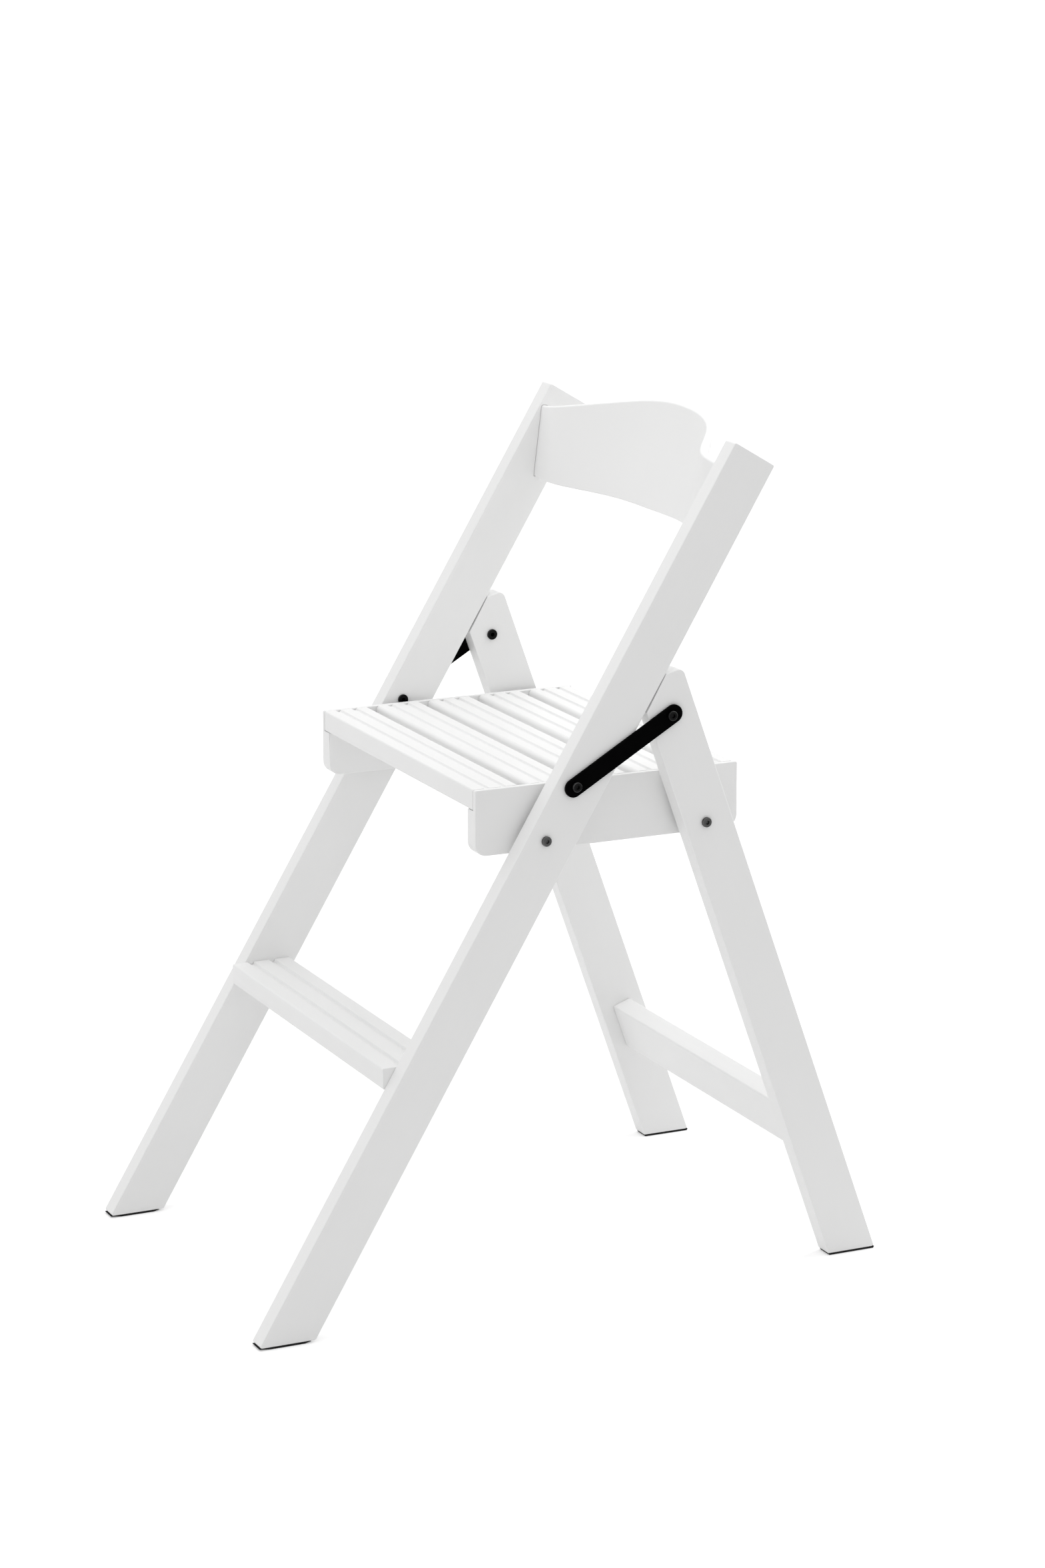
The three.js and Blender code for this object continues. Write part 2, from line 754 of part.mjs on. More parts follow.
sides.forEach(({ name, sign }) => {
  add(`stile_${name}`, stile(sign), whitePaint);
  add(`rear_leg_${name}`, rearLeg(sign), whitePaint);
  add(`seat_side_${name}`, seatSide(sign), whitePaint);
  add(`link_${name}`, link(sign), blackSteel);

  // Pivot bolts of the seat: through stile or leg, spacer and seat side, into a nut on the inside
  [
    ["seat", seatPivot],
    ["leg", legPivot],
  ].forEach(([joint, center]) => {
    const tip = seatNutSeat + boltEndGap;
    const barrelEnd = seatOuterFace - nutEndGap;
    add(`${joint}_bolt_${name}`, boltAt(sign, center, woodHeadSeat, tip), blackSteel);
    add(`${joint}_bolt_nut_${name}`, nutAt(sign, center, seatNutSeat, barrelEnd), blackSteel);
    add(`${joint}_spacer_${name}`, spacer(sign, center), blackNylon);
  });

  // Link bolts: the lower one reaches into its nut, the upper one ends at the inside of the link
  const nutEnd = outerFace - nutEndGap;
  const lowerTip = frameNutSeat + boltEndGap;
  add(`stile_link_bolt_${name}`, boltAt(sign, stileLinkPivot, linkHeadSeat, lowerTip), blackSteel);
  add(`stile_link_nut_${name}`, nutAt(sign, stileLinkPivot, frameNutSeat, nutEnd), blackSteel);
  add(`leg_link_bolt_${name}`, boltAt(sign, legLinkPivot, linkHeadSeat, outerFace + seatGap), blackSteel);
  add(`leg_link_nut_${name}`, nutAt(sign, legLinkPivot, frameNutSeat, nutEnd), blackSteel);

  dowelShares.forEach((share, index) => {
    add(`tread_dowel_${name}_${index + 1}`, frameDowel(sign, treadDowelCenter(share)), bareBeech);
    add(`stretcher_dowel_${name}_${index + 1}`, frameDowel(sign, stretcherDowelCenter(share)), bareBeech);
  });
  for (let index = 0; index < slatCount; index += 1) {
    add(`slat_dowel_${name}_${index + 1}`, slatDowel(sign, index), bareBeech);
  }

  const frontPad = footPad(sign, frontPadFrontInset, frontFootDepth - frontPadBackInset);
  add(`front_foot_pad_${name}`, frontPad, blackRubber);
  const rearPad = footPad(sign, rearFootFront + rearPadInset, legFootBack - rearPadInset);
  add(`rear_foot_pad_${name}`, rearPad, blackRubber);
});

// The origin goes to the middle of the footprint
const footprint = new THREE.Box3().setFromObject(chair);
chair.position.y = -footprint.getCenter(new THREE.Vector3()).y;

export default chair;
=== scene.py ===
# %% [markdown]
# A folding library step chair, dressed for its picture
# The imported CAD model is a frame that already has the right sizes, places and joints. This lesson
# builds a finer skin for each piece that can be seen: eased edges, soft grooves, a bowed panel, turned
# bolts with hexagonal sockets, and finishes with paint, steel, rubber and wood detail.
# Every new piece rides on the same CAD body as the piece that it stands for, so the chair still folds.

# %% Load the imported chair
import json
import math

import bpy
import numpy as np
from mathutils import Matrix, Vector
from mathutils.geometry import tessellate_polygon

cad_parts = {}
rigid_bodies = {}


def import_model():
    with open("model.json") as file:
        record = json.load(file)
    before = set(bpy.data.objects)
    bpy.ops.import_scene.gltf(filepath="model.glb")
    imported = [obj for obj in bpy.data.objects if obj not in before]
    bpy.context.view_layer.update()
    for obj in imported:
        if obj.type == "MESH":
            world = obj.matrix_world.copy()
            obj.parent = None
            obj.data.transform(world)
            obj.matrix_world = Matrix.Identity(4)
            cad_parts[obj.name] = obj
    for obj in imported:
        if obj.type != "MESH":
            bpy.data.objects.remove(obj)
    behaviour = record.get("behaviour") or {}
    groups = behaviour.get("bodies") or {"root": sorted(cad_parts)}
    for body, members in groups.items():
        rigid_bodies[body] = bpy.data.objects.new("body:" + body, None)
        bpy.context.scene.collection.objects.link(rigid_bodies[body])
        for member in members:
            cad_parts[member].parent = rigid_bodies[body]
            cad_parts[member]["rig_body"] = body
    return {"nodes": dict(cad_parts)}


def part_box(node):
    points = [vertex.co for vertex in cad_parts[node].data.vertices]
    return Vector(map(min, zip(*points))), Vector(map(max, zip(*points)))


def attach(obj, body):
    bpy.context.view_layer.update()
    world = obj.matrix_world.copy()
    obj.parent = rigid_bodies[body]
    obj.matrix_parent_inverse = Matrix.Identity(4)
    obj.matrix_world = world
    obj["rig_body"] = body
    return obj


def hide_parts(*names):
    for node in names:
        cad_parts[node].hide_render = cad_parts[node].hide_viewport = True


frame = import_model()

MM = 0.001
scene = bpy.context.scene
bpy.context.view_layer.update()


def add_object(name, data):
    """A new object in the scene."""
    made = bpy.data.objects.new(name, data)
    scene.collection.objects.link(made)
    return made


# %% [markdown]
# The camera
# The photographer stood in front of the chair on the sitter's left and used a long lens. The uprights
# in the picture run parallel, so it was straightened, by a shifted lens or afterwards. A full shift
# would push the chair out of every other view, because those keep it. So the camera here looks a little
# down, with a small shift, and was fitted to the chair's corners.

# %% Camera at the photograph's angle
CAMERA_PLACE = (3.8769, -1.7805, 1.5328)
CAMERA_AZIMUTH, CAMERA_PITCH = 64.821, -10.9405
CAMERA_LENS = 100.75
CAMERA_SHIFT = -0.15
SENSOR_WIDTH = 36
RIGHT_ANGLE = 90

camera_data = bpy.data.cameras.new("camera")
camera_data.sensor_width = SENSOR_WIDTH
camera_data.lens = CAMERA_LENS
camera_data.shift_y = CAMERA_SHIFT
camera = add_object("camera", camera_data)
camera.location = CAMERA_PLACE
camera.rotation_euler = (math.radians(RIGHT_ANGLE + CAMERA_PITCH), 0, math.radians(CAMERA_AZIMUTH))
scene.camera = camera
scene.view_settings.view_transform = "Standard"
print("camera", CAMERA_PLACE, "lens", CAMERA_LENS)

# %% [markdown]
# Reading places from the frame
# A bolt, nut or link belongs exactly where the CAD has it. The middle of a turned part's box is on its
# axis, so the pivots come from the frame and never have to be typed.

# %% Pivots and faces taken from the frame
def axis_of(node):
    """Middle of a node's box in the side view: the mean of its lowest and highest Y and Z."""
    low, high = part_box(node)
    return np.array([(low.y + high.y) / 2, (low.z + high.z) / 2])


inner_face, outer_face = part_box("stile_left")[0].x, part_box("stile_left")[1].x
seat_pivot = axis_of("seat_bolt_left")
leg_pivot = axis_of("leg_bolt_left")
stile_link_pivot = axis_of("stile_link_bolt_left")
leg_link_pivot = axis_of("leg_link_bolt_left")
print("faces", round(inner_face, 4), round(outer_face, 4), "seat pivot", seat_pivot.round(4))

# %% [markdown]
# The two leaning directions
# Seen from the side, the whole chair is drawn with two slanting rulers: one along the stiles, which
# lean back by 31 degrees, and one along the rear legs, which lean forward by 19.7 degrees. A point is
# told by how far it is along a ruler and how far behind the stile's front edge it is, or ahead of the
# leg's back edge.

# %% Rulers along the stiles and the legs
STILE_TILT = math.radians(31)
LEG_TILT = math.radians(19.7)
STILE_LENGTH = 975 * MM
BOARD_WIDTH = 50 * MM
FRONT_PAD_INSET = 2.2 * MM
REAR_PAD_INSET = 0.4 * MM
stile_foot_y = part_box("front_foot_pad_left")[0].y - FRONT_PAD_INSET
leg_foot_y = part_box("rear_foot_pad_left")[1].y + REAR_PAD_INSET
wood_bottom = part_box("stile_left")[0].z


def ruler(foot, tilt, way):
    """Two functions for an edge that leans by the tilt, back where way is 1 and forward where it is -1.
    The first gives the point that is so far up along the edge from its foot and so far square to it: the
    two distances are turned by the tilt. The second gives how far along the edge a point is that has
    this height and lies so far beside it."""
    sine, cosine = math.sin(tilt), math.cos(tilt)

    def point(along, beside):
        return np.array([foot + way * (along * sine + beside * cosine), along * cosine - beside * sine])

    def along_at(height, beside):
        return (height + beside * sine) / cosine

    return point, along_at


def crossing(a, b, c, d):
    """Where the line through a and b meets the line through c and d: a plus the share of a to b that
    makes the cross product with the second line vanish."""
    first, second, apart = b - a, d - c, c - a
    share = (apart[0] * second[1] - apart[1] * second[0]) / (first[0] * second[1] - first[1] * second[0])
    return a + share * first


stile_point, stile_along = ruler(stile_foot_y, STILE_TILT, 1)
leg_point, leg_along = ruler(leg_foot_y, LEG_TILT, -1)
print("stile foot", round(stile_foot_y, 4), "leg foot", round(leg_foot_y, 4))

# %% [markdown]
# Outlines with rounded corners
# Sanded boards have small arcs for corners. Blender's Bevel could round them later, but an outline that
# knows its own outward arrows shades perfectly with few faces. So each corner becomes an arc, and each
# point of it carries the arrow that points out of the wood.

# %% Rounded outlines
ARC_STEPS = 6


def unit(arrows):
    """The arrows divided by their lengths."""
    return arrows / np.linalg.norm(arrows, axis=-1, keepdims=True)


def arcs(before, here, after, radii, steps):
    """Rounded corners. An arc starts ahead of its corner by the radius times the tangent of half the turn.
    Its points are its middle plus the radius times an arrow square to the way, on its right, that turns
    evenly from the way in to the way out. At a hollow corner the arrow is reversed."""
    way_in, way_out = unit(here - before), unit(after - here)
    first, last = (np.arctan2(-way[:, 0], way[:, 1])[:, None] for way in (way_in, way_out))
    sweep = (last - first + math.pi) % (2 * math.pi) - math.pi
    angles = first + sweep * np.linspace(0, 1, steps + 1)
    arrows = np.stack([np.cos(angles), np.sin(angles)], 2)
    radii = np.broadcast_to(radii, len(here))[:, None]
    starts = here - way_in * radii * np.tan(np.abs(sweep) / 2)
    bend = np.sign(sweep) * radii
    points = (starts - bend * arrows[:, 0])[:, None] + bend[:, :, None] * arrows
    return points.reshape(-1, 2), arrows.reshape(-1, 2)


def rounded_outline(corners, radii, steps=ARC_STEPS):
    """A closed anticlockwise outline, with an arc of its radius at each corner. Also its arrows."""
    corners = np.asarray(corners, float)
    return arcs(np.roll(corners, 1, axis=0), corners, np.roll(corners, -1, axis=0), radii, steps)


sample_points, _ = rounded_outline([[0, 0], [1, 0], [1, 1], [0, 1]], 0.1)
print("a unit square's outline reaches", sample_points.min(0).round(6), sample_points.max(0).round(6))

# %% [markdown]
# Patches
# A piece is sewn together from patches. A patch is a sheet of points with one outward arrow at each,
# either a grid that depends on two parameters or a flat face with openings in it. In a sewn piece, points
# that lie on each other are one, so that the skin is closed, but every face keeps its own arrows, so that
# a flat face stays flat right up to a rounded edge.

# %% Sewing patches into a piece
MERGE = 2e-6


def grid_patch(points, arrows, wear=None):
    """Faces between neighbouring rows and columns of a grid, whose last column is joined to its first."""
    rows, columns = points.shape[:2]
    here = np.arange(rows * columns).reshape(rows, columns)
    beside = np.roll(here, -1, axis=1)
    a, b, c, d = (part.ravel() for part in (here[:-1], beside[:-1], beside[1:], here[1:]))
    faces = np.concatenate([np.stack([a, b, c], 1), np.stack([a, c, d], 1)])
    arrows = np.broadcast_to(arrows, points.shape).reshape(-1, 3)
    wear = np.zeros(rows * columns) if wear is None else np.broadcast_to(wear, (rows, columns)).ravel()
    return {"points": points.reshape(-1, 3), "arrows": arrows, "wear": wear, "faces": faces}


def flat_patch(loops, place, arrow):
    """A flat face inside the first loop and outside the others. place turns side-view points into space."""
    kept = []
    for loop in loops:
        apart = np.linalg.norm(loop - np.roll(loop, 1, axis=0), axis=1)
        kept.append(loop[apart > MERGE])
    triangles = tessellate_polygon([[Vector((p[0], p[1], 0)) for p in loop] for loop in kept])
    points = place(np.concatenate(kept))
    arrows = np.broadcast_to(np.asarray(arrow, float), points.shape)
    return {"points": points, "arrows": arrows, "wear": np.zeros(len(points)), "faces": np.array(triangles)}


def at_x(x):
    """Returns a function that stands side-view points (Y, Z) in space at one X."""
    return lambda flat: np.column_stack([np.full(len(flat), x), flat])


def with_x(x, flat):
    """Rows of side-view points, or of arrows, with an X put before them: one for each row, or one for all."""
    return np.concatenate([np.broadcast_to(np.reshape(x, (-1, 1, 1)), flat.shape[:2] + (1,)), flat], 2)


def mirrored(patches):
    """The same patches on the other side of the chair: every X changes its sign."""
    flip = np.array([-1.0, 1.0, 1.0])
    return [{**patch, "points": patch["points"] * flip, "arrows": patch["arrows"] * flip}
            for patch in patches]


def sew(name, patches):
    """Joins patches into one object. Corner points that round to the same place become one, faces
    that collapse are dropped, and a face that winds against its own arrows is turned over."""
    starts = np.cumsum([0] + [len(patch["points"]) for patch in patches[:-1]])
    points, arrows, wear = (np.concatenate([patch[part] for patch in patches])
                            for part in ("points", "arrows", "wear"))
    faces = np.concatenate([patch["faces"] + start for patch, start in zip(patches, starts)])
    _, firsts, merged = np.unique(np.round(points / MERGE), axis=0, return_index=True, return_inverse=True)
    shared = merged.ravel()[faces]
    whole = (shared != np.roll(shared, 1, axis=1)).all(1)
    faces, shared = faces[whole], shared[whole]
    corners = points[firsts][shared]
    fronts = np.cross(corners[:, 1] - corners[:, 0], corners[:, 2] - corners[:, 0])
    turned = (fronts * arrows[faces].sum(1)).sum(1) < 0
    faces[turned], shared[turned] = faces[turned][:, ::-1], shared[turned][:, ::-1]

    mesh = bpy.data.meshes.new(name)
    mesh.from_pydata(points[firsts], [], shared, shade_flat=False)
    mesh.validate()
    # The eased-edge share is stored for the edges' polish and their painted highlight, a lighter tone.
    worn_and_highlit = mesh.attributes.new("edge_wear_and_highlight", "FLOAT", "POINT")
    worn_and_highlit.data.foreach_set("value", wear[firsts].astype(np.float32))
    mesh.normals_split_custom_set(unit(arrows[faces.ravel()]).tolist())
    return add_object(name, mesh)


# %% [markdown]
# Putting a piece in its place
# The new piece takes over a CAD node: it rides on that node's body, hides the node and takes the
# finish named by its look, or else by its slot. The printed numbers compare the two boxes, in
# millimetres, so a wrong size shows at once.

# %% Dressing a CAD node
finishes = {}


def dress(node, patches, slot, look=None):
    """Sews the patches, gives them the look, or else the slot's own finish, and hands them to the body
    that the node belongs to."""
    piece = sew(f"{node}_skin", patches)
    piece.data.materials.append(finishes[look or slot])
    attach(piece, frame["nodes"][node]["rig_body"])
    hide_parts(node)
    points = np.concatenate([patch["points"] for patch in patches])
    low, high = map(np.array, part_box(node))
    apart = np.abs([points.min(0) - low, points.max(0) - high]).max() / MM
    used = np.empty(len(piece.data.loops), np.int32)
    piece.data.loops.foreach_get("edge_index", used)
    loose = (np.bincount(used) != 2).sum()
    print(f"{piece.name}: {len(used) // 3} faces, {loose} open edges, {apart:.2f} mm off its node's box")


def dress_both(kind, patches, slot, look=None):
    """Dresses the left node with the patches and the right one with their mirror image."""
    dress(f"{kind}_left", patches, slot, look)
    dress(f"{kind}_right", mirrored(patches), slot, look)


# %% [markdown]
# Node recipes
# A material is a small network. These helpers make a node, fill in its numbers and plug in whatever
# comes from another node, so that each finish below reads like a recipe.

# %% Helpers for material nodes
def fill(socket, value):
    """Writes a number or colour on a socket, or links another node's output to it."""
    if isinstance(value, bpy.types.NodeSocket):
        socket.id_data.links.new(value, socket)
    else:
        socket.default_value = value


def plug(node, **sockets):
    """Fills a node's inputs by their names, with _ for a blank."""
    for key, value in sockets.items():
        fill(node.inputs[key.replace("_", " ")], value)


def add_node(tree, kind, settings=None, **sockets):
    """Makes a shader node; settings are its properties, and sockets its inputs."""
    made = tree.nodes.new(f"ShaderNode{kind}")
    for key, value in (settings or {}).items():
        setattr(made, key, value)
    plug(made, **sockets)
    return made


def arithmetic(tree, operation, *values):
    """One operation on numbers and other nodes' outputs. MULTIPLY_ADD is the first times the second, plus
    the third."""
    made = add_node(tree, "Math", {"operation": operation})
    for socket, value in zip(made.inputs, values):
        fill(socket, value)
    return made.outputs[0]


def empty_tree(owner):
    """The cleared node tree of a material or world."""
    owner.use_nodes = True
    owner.node_tree.nodes.clear()
    return owner.node_tree


def new_finish(name):
    """A material with only its shader, listed among the finishes and ready for a recipe."""
    finishes[name] = bpy.data.materials.new(name)
    tree = empty_tree(finishes[name])
    shader = add_node(tree, "BsdfPrincipled")
    add_node(tree, "OutputMaterial", Surface=shader.outputs["BSDF"])
    return tree, shader


def ramp(tree, factor, *stops):
    """A colour ramp between two stops, each a place and a colour."""
    made = add_node(tree, "ValToRGB", Fac=factor)
    for element, (place, colour) in zip(made.color_ramp.elements, stops):
        element.position, element.color = place, (*colour, 1)
    return made.outputs["Color"]


def spread(tree, value, from_low, from_high, to_low, to_high):
    """Stretches one span of numbers onto another, clamped at both ends."""
    return add_node(tree, "MapRange", Value=value, From_Min=from_low, From_Max=from_high,
                    To_Min=to_low, To_Max=to_high).outputs["Result"]


def mapped(tree, turn=(0, 0, 0), scale=(1, 1, 1)):
    """Object coordinates, turned and stretched so that a pattern can lie along a slanting board."""
    place = add_node(tree, "TexCoord").outputs["Object"]
    turned = add_node(tree, "Mapping", {"vector_type": "TEXTURE"}, Vector=place, Rotation=turn)
    return add_node(tree, "Mapping", Vector=turned.outputs["Vector"], Scale=scale).outputs["Vector"]


NOISE_SPAN = (0.3, 0.7)  # most of a noise's values lie in it
GRAIN_DETAIL, MARK_DETAIL = (4.0, 0.6), (5.0, 0.6)  # octaves, and the share that each keeps of the last


def noise(tree, vector, scale, detail=2.0, roughness=0.5):
    """Cloudy noise, from 0 to 1, with so many features in a metre."""
    return add_node(tree, "TexNoise", Vector=vector, Scale=scale, Detail=detail,
                    Roughness=roughness).outputs["Fac"]


# %% [markdown]
# White paint on beech
# The boards are sprayed with a satin white. From close by such paint is not one flat tone: the spray
# leaves a very fine orange peel, the grain prints through as long soft streaks, and there are a few
# tiny dents. The eased edges are a little glossier and carry a painted highlight, a lighter tone. The
# streaks have to run along each board, so the recipe takes the board's lean, and one finish is made
# for each direction.

# %% White paint
PAINT_LOW, PAINT_HIGH = (0.868, 0.868, 0.864), (0.898, 0.898, 0.895)
# The edge tone is lighter than the paint: a painted highlight along the eased edges.
PAINT_EDGE_HIGHLIGHT = (0.935, 0.935, 0.933)
CLOUDS, HANDLING_MARKS, STREAKS, ORANGE_PEEL, DENTS = 7.0, 38.0, 420.0, 1500.0, 11.0  # in a metre
ALONG_SHARE, STREAK_SHARE = 0.035, 0.35
# How patchy the edges' polish and painted highlight are: noise from, noise to, least share.
PAINT_RUBBED_AND_HIGHLIT = (0.35, 0.65, 0.25)
PAINT_ROUGHNESS, EDGE_POLISH = (0.40, 0.52), -0.08
DENT_WIDTH = 0.018
FINE_BUMP, DENT_BUMP = 0.10, 0.5
PEEL_DEPTH, STREAK_DEPTH, DENT_DEPTH = 0.2 * MM, 0.3 * MM, 0.3 * MM


def worn_and_highlit_edges(tree, marks, low, high, least):
    """The eased-edge share times a noise that runs from the least to one as its marks go from low to high:
    the mask for the edges' polish and their painted highlight.
    """
    worn_and_highlit = add_node(tree, "Attribute", {"attribute_name": "edge_wear_and_highlight"}).outputs["Fac"]
    return arithmetic(tree, "MULTIPLY", worn_and_highlit, spread(tree, marks, low, high, least, 1.0))


def faded(tree, body_tone, edge_tone, share):
    """The body's tone, faded to the edge's by the share."""
    return add_node(tree, "MixRGB", Fac=share, Color1=body_tone, Color2=(*edge_tone, 1)).outputs["Color"]


def spots(tree, vector, scale, width, least):
    """Voronoi spots, so many in a metre: the least in a spot's middle, and one from its width outwards."""
    cells = add_node(tree, "TexVoronoi", Vector=vector, Scale=scale).outputs["Distance"]
    return spread(tree, cells, 0.0, width, least, 1.0)


def bump(tree, strength, depth, height, **under):
    """The shading arrow of a relief that is so deep, on top of another one if that is given."""
    return add_node(tree, "Bump", Strength=strength, Distance=depth, Height=height,
                    **under).outputs["Normal"]


def white_paint(name, turn=(0, 0, 0), along="z"):
    """Paint colour is a ramp over soft clouds and streaks; the eased-edge mask fades it to the lighter edge
    tone where the noise allows, a painted highlight; the bump is orange peel plus streaks plus sparse dents."""
    tree, shader = new_finish(name)
    plain = mapped(tree)
    streaked = mapped(tree, turn, [ALONG_SHARE if axis == along else 1.0 for axis in "xyz"])
    clouds = noise(tree, plain, CLOUDS)
    streaks = noise(tree, streaked, STREAKS, *GRAIN_DETAIL)
    handling = noise(tree, plain, HANDLING_MARKS, *MARK_DETAIL)
    soft = spread(tree, clouds, *NOISE_SPAN, 0.0, 1 - STREAK_SHARE)
    body_tone = ramp(tree, arithmetic(tree, "MULTIPLY_ADD", streaks, STREAK_SHARE, soft),
                     (0.0, PAINT_LOW), (1.0, PAINT_HIGH))
    rubbed_and_highlit = worn_and_highlit_edges(tree, handling, *PAINT_RUBBED_AND_HIGHLIT)
    rough = spread(tree, handling, *NOISE_SPAN, *PAINT_ROUGHNESS)
    fine = bump(tree, FINE_BUMP, PEEL_DEPTH, noise(tree, plain, ORANGE_PEEL))
    grained = bump(tree, FINE_BUMP, STREAK_DEPTH, streaks, Normal=fine)
    dented = bump(tree, DENT_BUMP, DENT_DEPTH, spots(tree, plain, DENTS, DENT_WIDTH, 0.0), Normal=grained)
    plug(shader, Base_Color=faded(tree, body_tone, PAINT_EDGE_HIGHLIGHT, rubbed_and_highlit), Normal=dented,
         Roughness=arithmetic(tree, "MULTIPLY_ADD", rubbed_and_highlit, EDGE_POLISH, rough))


white_paint("white_stile", (-STILE_TILT, 0, 0))
white_paint("white_leg", (LEG_TILT, 0, 0))
for name, along in (("white_side", "y"), ("white_slat", "x"), ("white_panel", "x")):
    white_paint(name, along=along)
print("paints:", sorted(finishes))

# %% [markdown]
# Black powder-coated steel, nylon and rubber
# The links and bolts are coated in satin black. Powder coat has a pebbly skin about half a millimetre
# across. A lighter tone on the eased edges is a painted highlight: pale rings on the bolt heads and a
# faint lighter rim on the other black parts. The seat and leg bolts are lighter and patchy all over
# their heads, which is painted sheen. Nylon is smoother and a touch greyer, with faint waves from its
# mould. Rubber is dull, with a fine matt grain.

# %% Black finishes
DUST = 90.0  # clouds in a metre
# How patchy the painted highlight on black edges is: noise from, noise to, least share.
BLACK_EDGE_HIGHLIGHT_SPAN = (0.4, 0.7, 0.2)
PEBBLE_DEPTH = 0.2 * MM
# The edge column is the tone of a painted highlight on eased edges, pale rings on the bolt heads.
BLACKS = {  # tones, edge, roughness, pebbles in a metre, bump, gloss
    "black_steel": ((0.0006, 0.0014), 0.004, (0.34, 0.46), 2600.0, 0.25, 0.01),
    "black_bolt": ((0.0012, 0.004), 0.09, (0.22, 0.34), 1800.0, 0.12, 0.08),
    # The seat and leg bolts' lighter, patchy tones and brighter edge are painted sheen and highlight.
    "sheen_painted_bolt": ((0.014, 0.055), 0.14, (0.2, 0.34), 1800.0, 0.12, 0.5),
    "black_nylon": ((0.004, 0.008), 0.02, (0.42, 0.52), 900.0, 0.12, 0.15),
    "black_rubber": ((0.006, 0.014), 0.02, (0.78, 0.9), 3200.0, 0.35, 0.2),
}


def black_finish(name, tones, edge, roughness, pebbles, strength, gloss):
    """Colour is a ramp over clouds of dust between the two tones, and roughness follows the same clouds;
    the eased-edge mask lightens the colour to the edge's tone, a painted highlight; the bump is a pebble
    pattern."""
    tree, shader = new_finish(name)
    plain = mapped(tree)
    dust = noise(tree, plain, DUST, *MARK_DETAIL)
    body_tone = ramp(tree, dust, *((place, (tone,) * 3) for place, tone in zip(NOISE_SPAN, tones)))
    plug(shader, Base_Color=faded(tree, body_tone, (edge,) * 3, worn_and_highlit_edges(tree, dust, *BLACK_EDGE_HIGHLIGHT_SPAN)),
         Roughness=spread(tree, dust, *NOISE_SPAN, *roughness), Specular_IOR_Level=gloss,
         Normal=bump(tree, strength, PEBBLE_DEPTH, noise(tree, plain, pebbles)))


for name, recipe in BLACKS.items():
    black_finish(name, *recipe)
print("blacks:", *BLACKS)

# %% [markdown]
# Bare beech
# The dowels are hidden in their holes, but they are wood all the same: pale, with growth lines along
# the rod and the short dark flecks that tell beech from other woods.

# %% Bare beech
BEECH_DARK, BEECH_LIGHT = (0.2, (0.45, 0.29, 0.16)), (0.6, (0.66, 0.47, 0.29))
GROWTH_LINES, FLECKS = 700.0, 900.0  # in a metre
LINE_SHARE, FLECK_SHARE = 0.1, 0.3
FLECK_WIDTH, FLECK_SHADE = 0.35, 0.6
BEECH_ROUGHNESS = (0.55, 0.72)
BEECH_BUMP, BEECH_DEPTH = 0.3, 0.2 * MM


def bare_beech():
    """Growth lines are stretched noise, flecks are a sparse stretched Voronoi pattern that darkens them."""
    tree, shader = new_finish("bare_beech")
    lines = noise(tree, mapped(tree, scale=(LINE_SHARE, 1, 1)), GROWTH_LINES, *GRAIN_DETAIL)
    flecks = spots(tree, mapped(tree, scale=(FLECK_SHARE, 1, 1)), FLECKS, FLECK_WIDTH, FLECK_SHADE)
    plug(shader, Base_Color=ramp(tree, arithmetic(tree, "MULTIPLY", lines, flecks), BEECH_DARK, BEECH_LIGHT),
         Roughness=spread(tree, lines, *NOISE_SPAN, *BEECH_ROUGHNESS),
         Normal=bump(tree, BEECH_BUMP, BEECH_DEPTH, lines))


bare_beech()
for node_name, node_object in frame["nodes"].items():
    if "dowel" in node_name:
        for material_slot in node_object.material_slots:
            material_slot.material = finishes["bare_beech"]
print("finishes:", sorted(finishes))

# %% [markdown]
# Boards across the chair
# Stiles, legs, stretcher, links and pads are all the same idea: an outline seen from the side, carried
# across the chair, with its edges eased by a quarter of a circle. Openings are loops in the flat faces
# with walls between them: bores go right through, and slots and dowel holes end in a floor.

# %% A board with eased edges
EASE_STEPS = 5
BORE_POINTS = 32
turn = np.linspace(0, math.pi / 2, EASE_STEPS + 1)
# An eased edge's share, highest halfway round: where paint is polished and given a painted highlight.
sine, cosine, edge_wear_and_highlight = np.sin(turn), np.cos(turn), np.sin(2 * turn)


def ring(middle, radius):
    """A circle: the middle plus the radius times an arrow that turns once round. Also its arrows."""
    angles = np.linspace(0, 2 * math.pi, BORE_POINTS, endpoint=False)
    arrows = np.stack([np.cos(angles), np.sin(angles)], 1)
    return middle + radius * arrows, arrows


def hole_wall(first, last, arrows):
    """The wall of a hole between two rings of points. Its arrows are the outline's, turned inwards."""
    return grid_patch(np.stack([first, last]), at_x(0.0)(-arrows)[None])


